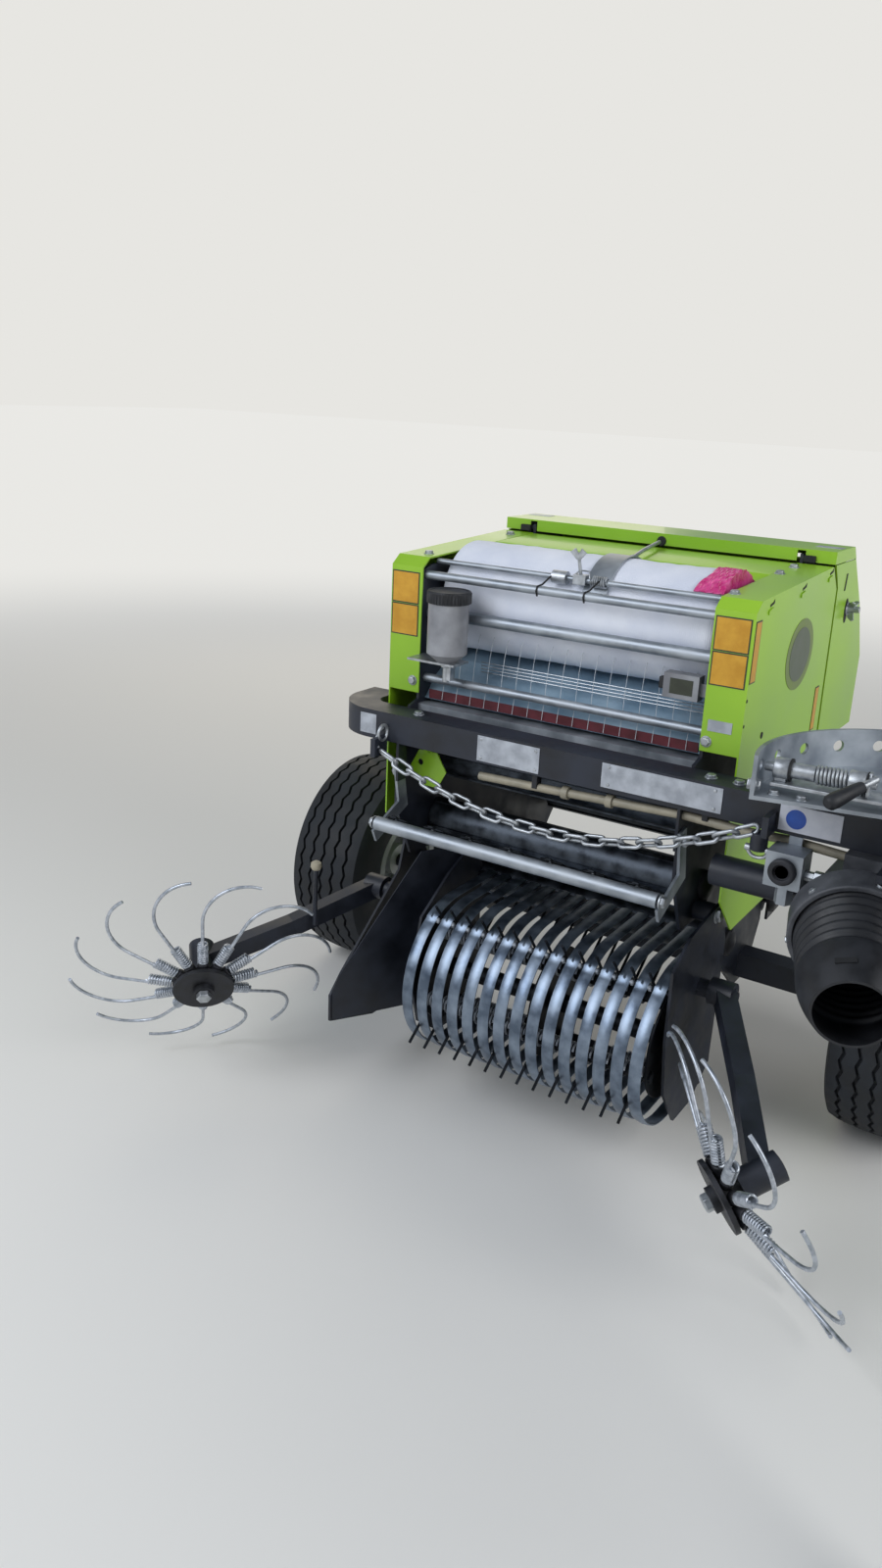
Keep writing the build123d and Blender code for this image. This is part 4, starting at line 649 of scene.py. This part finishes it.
# Chain: it hangs in a parabola, marks stand a link apart along it, and each link is turned 90 degrees from
# the one before.
CHAIN_LOW, CHAIN_HIGH = np.array([-0.280, 0.684]), np.array([0.428, 0.706])
CHAIN_SAG, CHAIN_Y = 0.084, -0.112
LINK_PITCH, LINK_HALF, LINK_END, LINK_WIRE = 0.0332, 0.01175, 0.0085, 0.0032
share = np.linspace(0, 1, 4001)[:, None]
hang = CHAIN_LOW + (CHAIN_HIGH - CHAIN_LOW) * share - [0, 1] * (4 * CHAIN_SAG * share * (1 - share))
run = np.concatenate([[0], np.cumsum(np.linalg.norm(np.diff(hang, axis=0), axis=1))])
marks = np.arange(0, run[-1], LINK_PITCH)
joints = np.stack([np.interp(marks, run, hang[:, 0]), np.full(len(marks), CHAIN_Y),
                   np.interp(marks, run, hang[:, 1])], -1)
half_turn = np.linspace(-np.pi / 2, np.pi / 2, 9)
ring = np.stack([LINK_HALF + LINK_END * np.cos(half_turn), LINK_END * np.sin(half_turn)], -1)
ring = np.concatenate([ring, -ring])
links = []
for index, (start, end) in enumerate(zip(joints, joints[1:])):
    direction = unit(end - start)
    across = np.cross(direction, [0.0, 1.0, 0.0])
    roll = np.radians(45 if index % 2 else 135)
    width = np.cos(roll) * across + np.sin(roll) * np.array([0.0, 1.0, 0.0])
    path = (start + end) / 2 + DATUM + ring @ np.stack([direction, width])
    links.append(wire(path, LINK_WIRE, np.cross(direction, width), 10, closed=True))
chain = piece("chain_links", links, bright_zinc, angle=60.0)
stands_for(chain, "chain")

eye_ring = [(0.0, 0.014 * np.cos(t), 0.014 * np.sin(t)) for t in 2 * np.pi * np.arange(24) / 24]
eye = wire([at(-0.289, -0.098, 0.716) + point for point in eye_ring], 0.0030, (1, 0, 0), 10, closed=True)
hook = wire([at(-0.298, -0.086, 0.722), at(-0.300, -0.096, 0.716), at(-0.297, -0.110, 0.700),
             at(-0.287, -0.113, 0.690)], 0.0028, (1, 0, 0), 10)
SHACKLE = at(0.432, -0.1115, 0.672)
bow_turn = np.linspace(0, np.pi, 17)
bow = wire([SHACKLE + [0.016 * np.cos(t), 0.0, -0.013 * np.sin(t)] for t in bow_turn], 0.0030, (0, 1, 0), 10)
knobs = [turned(pin(-0.004, 0.004, 0.0055), SHACKLE + [dx, 0, 0.001], (1, 0, 0), 16)
         for dx in (-0.016, 0.016)]
piece("chain_fittings", [eye, hook, bow, *knobs], bright_zinc)
lug = turned(pin(0.0, 0.028, 0.0135), SHACKLE, (0, 0, 1), 28)
piece("chain_lug_round", [lug], black_paint, 0.001)
beam_screws = [((x, -0.055, BEAM_TOP), (0, 0, 1)) for x in (-0.240, 0.325, 0.372)]
piece("beam_bolts", bolts(beam_screws), bright_zinc, 0.0005)


# Gearbox side. The real gearbox is a casting with a bolted guard ring, in grey paint that is dull over the
# casting's grain; the joint is covered by a black moulded bellows, and the hydraulic block beside it is zinc
# plated with a round cap.
PTO_START, PTO_LINE = at(0.590, -0.130, 0.612), unit(np.array([0.27, -0.945, -0.17]))
grey_paint = mottled("grey_painted_casting", ("#3B3D42", "#56585D"), 0.03, (0.45, 0.62), 0.002, 0.00015)
dress(grey_paint, "gearbox")
dress(black_paint, "drive_shaft")
dress(zinc, "valve_block")
ring_u = unit(np.cross(PTO_LINE, [0.0, 0.0, 1.0]))
ring_v = np.cross(PTO_LINE, ring_u)
GUARD_RADIUS, GUARD_BORE, GUARD_LIP, GUARD_BACK, GUARD_END = 0.0915, 0.030, 0.008, 0.018, 0.064
guard_profile = [
    (GUARD_BACK, GUARD_BORE), (GUARD_BACK, GUARD_RADIUS), (GUARD_END, GUARD_RADIUS),
    (GUARD_END + 0.002, GUARD_RADIUS - 0.002), (GUARD_END + 0.002, GUARD_RADIUS - GUARD_LIP),
    (GUARD_END - 0.004, GUARD_RADIUS - GUARD_LIP), (GUARD_BACK + 0.004, GUARD_BORE)]
guard_ring = turned(guard_profile, PTO_START, PTO_LINE, 64, closed=True)
bolt_ring = PTO_START + (GUARD_END - 0.012) * PTO_LINE
ring_bolts = []
for angle in np.radians(np.arange(6) * 60 + 15):
    out = np.cos(angle) * ring_u + np.sin(angle) * ring_v
    ring_bolts += hexagon_bolt(bolt_ring + (GUARD_RADIUS - 0.001) * out, out, 0.005, 0.004)
piece("guard_ring", [guard_ring], grey_paint, 0.0008)
piece("guard_ring_bolts", ring_bolts, bright_zinc)

# Bellows: its ribs run over RIBBED of its length, where the radius drops by CONE_TAPER, and the rest is a
# round nose.
CONE_START, CONE_LONG, CONE_RADIUS, CONE_TAPER, CONE_WALL = 0.058, 0.178, 0.0800, 0.0085, 0.004
CONE_RIBS, RIB_HEIGHT, RIBBED, NOSE_DROP = 6, 0.0035, 0.6, 0.0175
share = np.linspace(0, 1, 73)
ribbed = np.clip(share / RIBBED, 0, 1)
nose = np.clip((share - RIBBED) / (1 - RIBBED), 0, 1)
ripple = np.where(share < RIBBED, np.cos(2 * np.pi * CONE_RIBS * ribbed), np.cos(nose * np.pi / 2))
outer = CONE_RADIUS - CONE_TAPER * ribbed + RIB_HEIGHT * ripple - NOSE_DROP * nose ** 1.6
profile = [(a * CONE_LONG, r) for a, r in zip(share, outer)]
profile += [(a * CONE_LONG, r - CONE_WALL) for a, r in zip(share[::-1], outer[::-1])]
bellows = turned(profile, PTO_START + CONE_START * PTO_LINE, PTO_LINE, 96, closed=True)
cone = piece("bellows", [bellows], black_plastic, angle=60.0)
stands_for(cone, "shaft_cone")
slot_out = unit(0.75 * ring_v - 0.2 * ring_u) * (1 if ring_v[2] > 0 else -1)
slot_along = np.cross(PTO_LINE, slot_out)
slot_place = PTO_START + (CONE_START + 0.150) * PTO_LINE + 0.0655 * slot_out
bellows_slot = slab(oblong(-0.014, -0.004, 0.014, 0.004), slot_place,
                    slot_along, unit(PTO_LINE - 0.35 * slot_out), 0.002)
piece("bellows_slot", [bellows_slot], rubber)
cap = turned([(0.0, 0.021), (0.008, 0.021), (0.010, 0.018), (0.010, 0.013), (0.006, 0.011), (0.006, 0.0)],
             at(0.480, -0.134, 0.656), (0, -1, 0), 32)
fittings = [turned([(0.0, 0.008), (0.014, 0.008), (0.014, 0.011), (0.026, 0.011), (0.026, 0.0)],
                   at(0.508, -0.112, 0.650), (1, 0, 0), 6),
            turned([(0.0, 0.006), (0.020, 0.006), (0.020, 0.0)], at(0.534, -0.112, 0.650), (1, 0, 0), 16)]
piece("valve_cap", [cap], cast_iron, 0.0006)
piece("valve_fittings", fittings, bright_zinc, 0.0006)


# Wheels. The real tyres are ribbed implement tyres with zigzag grooves round the tread; the rims are painted
# pale grey with five nuts round the hub cap. Rubber is nearly black and dull, rim paint has a soft shine.
TYRE_RADIUS, WHEEL_X, AXLE_PLACE = 0.242, 0.617, (0.375, 0.242)
NUT_CIRCLE, NUT_OUT = 0.048, 0.0325
SIDES = ((-1, "right"), (1, "left"))
tyre_rubber = mottled("tyre_rubber", ("#17191D", "#262A30"), 0.05, (0.6, 0.82), 0.0015, 0.00012)
rim_paint = mottled("pale_grey_rim_paint", ("#A9ABAE", "#BFC1C3"), 0.05, (0.3, 0.48), 0.003,
                      0.00005, coat=0.2)


def tyre_grid():
    """Points of one tyre about X: rings of the outer profile with grooves, closed by the inner wall. The
    crown falls by fall * (x / shoulder) ** 2, a groove's floor lies the groove's depth under it, and its
    columns are shifted by a zigzag, swing * (2 * |2 * s - 1| - 1), with s the share of a wave passed."""
    groove, wide, swing, waves, around = 0.008, 0.0032, 0.0032, 40, 480
    fall, shoulder = 0.0055, 0.075
    columns = [(-0.068, 0.108, 0), (-0.0780, 0.118, 0), (-0.0885, 0.140, 0), (-0.0930, 0.168, 0),
               (-0.0935, 0.190, 0), (-0.0925, 0.208, 0), (-0.0890, 0.223, 0), (-0.0840, 0.2325, 0)]
    # Steps across a groove: distance from its middle in groove widths, and whether it is on the floor
    steps = [(-2.0, 0), (-1.05, 0), (-0.8, 1), (0.8, 1), (1.05, 0), (2.0, 0)]
    crown = []
    for centre in (-0.060, -0.030, 0.0, 0.030, 0.060):
        for step, deep in steps:
            x = centre + step * wide
            crown.append((x, TYRE_RADIUS - fall * (x / shoulder) ** 2 - groove * deep, 1))
    columns += crown + [(-x, r, s) for x, r, s in columns[::-1]]
    inner = [(0.066, 0.112, 0), (0.080, 0.150, 0), (0.083, 0.200, 0), (0.060, 0.226, 0), (0.0, 0.2295, 0)]
    columns += inner + [(-x, r, s) for x, r, s in inner[-2::-1]]
    x, r, moves = np.array(columns, float).T
    turn = 2 * np.pi * np.arange(around) / around
    wave_share = (turn * waves / (2 * np.pi)) % 1
    zigzag = swing * (2 * np.abs(2 * wave_share - 1) - 1)
    shifted = x[None, :] + moves[None, :] * zigzag[:, None]
    return np.stack([shifted, r[None, :] * np.cos(turn)[:, None], r[None, :] * np.sin(turn)[:, None]], -1)


for side, label in SIDES:
    hub = at(side * WHEEL_X, *AXLE_PLACE)
    tread = piece("tyre_tread_" + label, [skin(tyre_grid() + hub, closed=True)], tyre_rubber,
                  body="wheel_" + label, angle=35.0)
    stands_for(tread, "tyre_" + label)
    dress(rim_paint, "rim_" + label)
    cap = turned([(0.048, 0.0), (0.050, 0.024), (0.068, 0.022), (0.074, 0.016), (0.075, 0.0)], hub,
                 (side, 0, 0), 32)
    piece("hub_cap_" + label, [cap], cast_iron, 0.001, body="wheel_" + label)
    nuts = []
    for angle in np.radians(np.arange(5) * 72 + 18):
        nut_place = hub + [side * NUT_OUT, *(NUT_CIRCLE * ray(angle))]
        nuts += hexagon_bolt(nut_place, (side, 0, 0), 0.009, 0.009)
    piece("wheel_nuts_" + label, nuts, bright_zinc, 0.0006, body="wheel_" + label)


# Drawbar, its sector plate and index pin, tow eye and parking jack. The real sector, pin and jack leg are
# galvanised, the drawbar is black, and a black plastic grip is pushed on each handle.
PIVOT, SECTOR_TOP, SECTOR_RADIUS = np.array([0.670, -0.150]), 0.784, 0.240
DRAWBAR_TURN, LEVER_TURN = np.radians([198.0, 185.0])


def about_pivot(turn, point):
    """A place given from the drawbar's pivot in a frame turned about Z: pivot + x * ahead + y * sideways."""
    x, y, z = point
    ahead = ray(turn)
    sideways = np.array([-ahead[1], ahead[0]])
    return at(*(PIVOT + x * ahead + y * sideways), z)


def on_lever(x, y, z):
    """A place beside the index pin: x out from the pivot along the pin, z above the sector plate."""
    return about_pivot(LEVER_TURN, (x, y, SECTOR_TOP + z))


dress(zinc, "quadrant", "jack_leg", "wind_guard")
dress(cast_iron, "tow_eye")
pin_axis = unit(on_lever(1, 0, 0) - on_lever(0, 0, 0))
pin_side = unit(on_lever(0, 1, 0) - on_lever(0, 0, 0))
PIN_HEIGHT, DECK, PLATE_X = 0.040, 0.023, 0.080
pin_foot = on_lever(0, 0, PIN_HEIGHT)
bushes = []
for start, end in ((0.192, 0.214), (0.086, 0.110)):
    bush = [(start, 0.0), (start, 0.0150), (start + 0.002, 0.0160), (end - 0.002, 0.0160),
            (end, 0.0150), (end, 0.0)]
    bushes.append(turned(bush, pin_foot, pin_axis, 32))
pin_body = turned([(0.072, 0.0), (0.072, 0.0070), (0.156, 0.0070), (0.156, 0.0115), (0.190, 0.0115),
                   (0.192, 0.0070), (0.226, 0.0070), (0.228, 0.0055), (0.228, 0.0)], pin_foot, pin_axis, 28)
flat_bar = slab(oblong(-0.030, -0.022, 0.214, 0.022), on_lever(0, 0, DECK - 0.005),
                pin_axis, pin_side, 0.005)
seats = [slab(oblong(x, -0.010, x + 0.016, 0.010), on_lever(0, 0, DECK), pin_axis,
              pin_side, PIN_HEIGHT - DECK) for x in (0.090, 0.195)]
end_plate = slab([(-0.014, 0.0), (0.014, 0.0), (0.014, 0.022), (0.006, 0.034), (-0.006, 0.034),
                  (-0.014, 0.022)], on_lever(PLATE_X, 0, DECK), pin_side, (0, 0, 1), 0.004)
grip_axis = unit(on_lever(0.045, 0.070, -0.022) - on_lever(0, 0, 0))
grip_foot = on_lever(PLATE_X, 0.012, 0.046)
grip_stub = turned([(-0.012, 0.0), (-0.012, 0.0055), (0.030, 0.0048), (0.030, 0.0)], grip_foot, grip_axis, 16)
lever = piece("index_pin", [*bushes, pin_body, flat_bar, *seats, end_plate, grip_stub], bright_zinc,
              0.0006, body="drawbar")
stands_for(lever, "index_lever")
pin_rings = [turned(pin(x, x + 0.003, 0.0168), pin_foot, pin_axis, 32)
             for x in (0.189, 0.083)]
piece("index_pin_rings", pin_rings, rubber, body="drawbar")
spring = coil(on_lever(0.112, 0, PIN_HEIGHT), on_lever(0.155, 0, PIN_HEIGHT), 0.0122, 0.0021, 8, 22, 8)
piece("index_spring", [spring], bright_zinc, body="drawbar")
grip = turned([(0.016, 0.0), (0.016, 0.0072), (0.022, 0.0086), (0.068, 0.0118), (0.078, 0.0112),
               (0.083, 0.0070), (0.084, 0.0)], grip_foot, grip_axis, 32)
piece("index_grip", [grip], black_plastic, body="drawbar")

RIM_BOLT_TURN, RIM_BOLT_Z = np.radians(192.0), 0.802
rim_out = np.array([*ray(RIM_BOLT_TURN), 0.0])
rim_place = at(PIVOT[0], PIVOT[1], RIM_BOLT_Z) + SECTOR_RADIUS * rim_out
sector_bolts = hexagon_bolt(rim_place, rim_out, 0.0085, 0.006)
sector_bolts += hexagon_bolt(rim_place - 0.006 * rim_out, -rim_out, 0.0085, 0.007)
sector_bolts += bolts([((PIVOT[0] - dx, PIVOT[1] - 0.036, SECTOR_TOP + 0.006), (0, 0, 1))
                       for dx in (0.205, 0.165)], 0.0075)
piece("sector_bolts", sector_bolts, bright_zinc, 0.0005)
pivot_nut = turned([(0.0, 0.0), (0.0, 0.019), (0.011, 0.019), (0.013, 0.015), (0.013, 0.0)],
                   at(*PIVOT, SECTOR_TOP + 0.018), (0, 0, 1), 6)
piece("pivot_nut", [pivot_nut], bright_zinc, 0.0008, body="drawbar")
jack = about_pivot(DRAWBAR_TURN, (-0.055, 0.560, 0.777))
bar_side = unit(about_pivot(DRAWBAR_TURN, (0, 1, 0)) - about_pivot(DRAWBAR_TURN, (0, 0, 0)))
crank_place = jack + 0.066 * bar_side
crank_grip = turned([(0.042, 0.0), (0.042, 0.0110), (0.046, 0.0125), (0.080, 0.0125), (0.084, 0.0105),
                     (0.0843, 0.0)], crank_place, (0, 0, 1), 28)
piece("jack_grip", [crank_grip], black_plastic, 0.0006, body="drawbar")


# Pickup. The real bands are rolled galvanised strips in two halves, lapped and screwed in front; the reel
# behind them is dark and oily, with bright coils at the root of each tine; the wind guard is a galvanised
# tube with double fingers. The rolled strip's blue-grey tones are painted sky reflection in long soft
# clouds, and spring wire glints.
REEL_PLACE, BAND_OUTER, BAND_HALF, BAND_WALL = np.array([-0.038, 0.259]), 0.150, 0.011, 0.002
BAND_FIRST, BAND_PITCH, BAND_COUNT, BAND_REAR, BAND_RUN = -0.153, 0.0326, 15, 0.105, 0.030
LAP_ANGLE, CROWN = np.radians(121.0), 0.0016
dark_steel = mottled("dark_oiled_steel", ("#17191C", "#2C3036"), 0.02, (0.4, 0.6), 0.002, 0.00008, 0.8)
# The strip's two blue-grey tones are painted sky reflection.
galvanised_strip = mottled("rolled_galvanised_strip", ("#5C6878", "#93A0B0"), 0.035, (0.3, 0.46),
                             0.003, 0.00006, 0.95)
spring_bright = mottled("bright_spring_wire", ("#A2A9B2", "#CDD2DA"), 0.01, (0.34, 0.5),
                          0.0008, 0.00001, 0.85)
dress(dark_steel, "pickup_reel")

# One band in side view: the upper run, the arc round the reel with its raised lap, and the lower run. Its
# section is a strip with a slight crown.
turns = np.concatenate([np.linspace(np.pi / 2, LAP_ANGLE - 0.006, 8),
                        np.linspace(LAP_ANGLE + 0.006, 3 * np.pi / 2, 34)])
raised = np.where(turns < LAP_ANGLE, BAND_WALL, 0.0)
arc = REEL_PLACE + (BAND_OUTER + raised)[:, None] * ray(turns)
top_z, low_z = REEL_PLACE[1] + BAND_OUTER + BAND_WALL, REEL_PLACE[1] - BAND_OUTER
line = np.concatenate([[[BAND_REAR, top_z], [BAND_RUN, top_z]], arc, [[BAND_RUN, low_z], [BAND_REAR, low_z]]])
outward = np.concatenate([[[0, 1]] * 2, ray(turns), [[0, -1]] * 2])
across = np.linspace(-1, 1, 7)
rise = CROWN * (1 - across ** 2)
section = [(a * BAND_HALF, h) for a, h in zip(across, rise)]
section += [(a * BAND_HALF, h - BAND_WALL) for a, h in zip(across[::-1], rise[::-1])]
band_rows = np.array([[(x, *(p + h * o)) for x, h in section] for p, o in zip(line, outward)])
band_shapes, band_screws = [], []
screw_out = np.array([0.0, *ray(LAP_ANGLE)])
for index in range(BAND_COUNT):
    x = BAND_FIRST + index * BAND_PITCH
    band_shapes.append(skin(band_rows + at(x, 0, 0)))
    if index < BAND_COUNT - 1:
        screw = at(x + 0.43 * BAND_PITCH, *REEL_PLACE) + (BAND_OUTER - 0.001) * screw_out
        band_screws.append(turned([(-0.004, 0.0), (-0.004, 0.0045), (0.0015, 0.0045), (0.0035, 0.0030),
                                   (0.0040, 0.0)], screw, screw_out, 14))
bands = piece("stripper_bands", band_shapes, galvanised_strip, body="pickup", angle=50.0)
stands_for(bands, "pickup_bands")
piece("band_screws", band_screws, spring_bright, body="pickup")

tine_coils = []
BAR_CIRCLE, COIL_HALF = 0.092, 0.009
for bar in np.radians(np.arange(4) * 90 + 20):
    y, z = REEL_PLACE + BAR_CIRCLE * ray(bar)
    for gap in range(BAND_COUNT - 1):
        x = BAND_FIRST + (gap + 0.5) * BAND_PITCH
        tine_coils.append(coil(at(x - COIL_HALF, y, z), at(x + COIL_HALF, y, z), 0.0138, 0.0021, 3, 12, 6))
piece("tine_coils", tine_coils, spring_bright, body="reel")
edge_bolts = bolts([((side * 0.327, 0.060, 0.470), (side, 0, 0)) for side in (-1, 1)], 0.013, 0.009)
piece("pickup_edges", edge_bolts, bright_zinc, 0.0006, body="pickup")

GUARD_LOW, GUARD_HIGH, TUBE, TUBE_RADIUS = -0.272, 0.297, np.array([-0.140, 0.556]), 0.013
FINGER, FINGER_LONG, FINGER_RADIUS = unit(np.array([0.0, 96.0, -62.0])), 0.112, 0.0026
FINGER_SPACING = 0.0399
finger_pairs = -0.247 + FINGER_SPACING * (2 * np.arange(7) + 0.5)
resting = np.array([0.0, -FINGER[2], FINGER[1]])
double_tines = []
for centre in finger_pairs:
    path = []
    for side in (-1, 1):
        root = at(centre + side * FINGER_SPACING / 2, *TUBE) + (TUBE_RADIUS + FINGER_RADIUS) * resting
        turn_in = root - [side * 0.003, 0, 0] - 0.004 * FINGER
        half = [root + FINGER_LONG * FINGER, root + 0.03 * FINGER, root, turn_in,
                root - [side * 0.0155, 0, 0] - 0.005 * FINGER,
                root - [side * 0.0165, 0, 0] - 0.014 * FINGER + 0.001 * resting]
        path += half if side < 0 else half[::-1]
    double_tines.append(wire(path, FINGER_RADIUS, resting, 8))
fingers = piece("guard_fingers", double_tines, dark_steel, body="wind_guard", angle=60.0)
stands_for(fingers, "guard_tines")
guard_bolts = bolts([((x, y, z), (way, 0, 0)) for y, z in ((-0.070, 0.640), tuple(TUBE))
                     for x, way in ((GUARD_LOW, -1), (GUARD_HIGH, 1))], 0.010, 0.008)
finger_screws = [turned([(0.0, 0.0), (0.0, 0.0050), (0.003, 0.0045), (0.004, 0.0)],
                        at(centre, *TUBE) + TUBE_RADIUS * resting, resting, 14) for centre in finger_pairs]
piece("guard_bolts", guard_bolts + finger_screws, bright_zinc, body="wind_guard")


# Side rake wheels. Each real wheel is a cast hub with twelve coil sprung wires that trail in a hook; they are
# galvanised, clipped to the hub and turn on a bearing at the end of a black arm.
STAR_HUB, STAR_AXIS = np.array([0.516, -0.344, 0.222]), unit(np.array([-0.64, -0.62, -0.45]))
STAR_TINES, STAR_LEAN, TINE_RADIUS = 12, np.radians(14.0), 0.0032
star_x = unit(np.array([0.0, 0.0, 1.0]) - STAR_AXIS[2] * STAR_AXIS)
star_basis = np.stack([star_x, np.cross(STAR_AXIS, star_x), STAR_AXIS])


def on_star(points, angle, side):
    """Points of a tine on the wheel: leaned by STAR_LEAN about its own Y, turned by an angle about the hub's
    axis, set in the hub's frame, and mirrored in X for the machine's right side."""
    x, y, z = np.asarray(points, float).T
    cos, sin = np.cos(STAR_LEAN), np.sin(STAR_LEAN)
    x, z = x * cos + z * sin, z * cos - x * sin + 0.003
    x, y = x * np.cos(angle) - y * np.sin(angle), x * np.sin(angle) + y * np.cos(angle)
    world = STAR_HUB + np.stack([x, y, z], -1) @ star_basis
    return world * [side, 1, 1] + DATUM


dress(cast_iron, "star_hub_right", "star_hub_left")

# A tine in its own frame: straight out of its coil spring, then a hook of radius HOOK
HOOK, HOOK_START = 0.078, 0.157
bend = np.linspace(0, np.radians(112.0), 18)
hooked = [(0.100, 0.0, 0.003), (0.120, 0.0, 0.003), (0.140, 0.0, 0.003)]
hooked += [(HOOK_START + HOOK * np.sin(t), HOOK * (1 - np.cos(t)), 0.003) for t in bend]
coil_line = helix((0.058, 0.0, -0.004), (0.104, 0.0, -0.004), 0.0085, 9, 12)
coil_wire = np.concatenate([coil_line, [(0.108, 0.003, 0.002)]])
for side, label in SIDES:
    normal = STAR_AXIS * [side, 1, 1]
    hub = STAR_HUB * [side, 1, 1] + DATUM
    hooks, coils, clips = [], [], []
    for angle in 2 * np.pi * np.arange(STAR_TINES) / STAR_TINES:
        hooks.append(wire(on_star(hooked, angle, side), TINE_RADIUS, normal, 10))
        coils.append(wire(on_star(coil_wire, angle, side), 0.0024, normal, 6))
        foot, head = on_star([(0.040, 0, -0.004), (0.062, 0, -0.004)], angle, side)
        clips.append(turned([(0.0, 0.0), (0.0, 0.0105), (0.016, 0.0105), (0.018, 0.0085), (0.018, 0.0)], foot,
                            head - foot, 16))
    stars = piece("rake_tines_" + label, hooks, spring_bright,
                  body="rake_wheel_" + label, angle=60.0)
    stands_for(stars, "star_tines_" + label)
    piece("rake_coils_" + label, coils, spring_bright, body="rake_wheel_" + label, angle=60.0)
    piece("rake_clips_" + label, clips, cast_iron, 0.0008, body="rake_wheel_" + label)
    nut = turned([(0.018, 0.0), (0.018, 0.0145), (0.028, 0.0145), (0.030, 0.012), (0.030, 0.0)],
                 hub, normal, 6)
    dust_cap = turned([(-0.100, 0.0), (-0.100, 0.016), (-0.095, 0.021), (-0.090, 0.021), (-0.090, 0.0)],
                      hub, normal, 24)
    piece("rake_nut_" + label, [nut], bright_zinc, 0.0006, body="rake_wheel_" + label)
    piece("rake_cap_" + label, [dust_cap], cast_iron, 0.0006, body="rake_arm_" + label)

# Stop of the right rake arm: a rod with a cream knob
rod = wire([at(-0.420, -0.128, 0.300), at(-0.420, -0.128, 0.360), at(-0.420, -0.126, 0.420)],
           0.0045, (1, 0, 0), 12)
knob = turned([(0.0, 0.0), (0.0, 0.008), (0.006, 0.011), (0.014, 0.010), (0.018, 0.004), (0.018, 0.0)],
              at(-0.420, -0.126, 0.418), (0, 0, 1), 20)
piece("rake_stop_rod", [rod], black_paint, body="rake_arm_right")
piece("rake_stop_knob", [knob], cream, body="rake_arm_right")
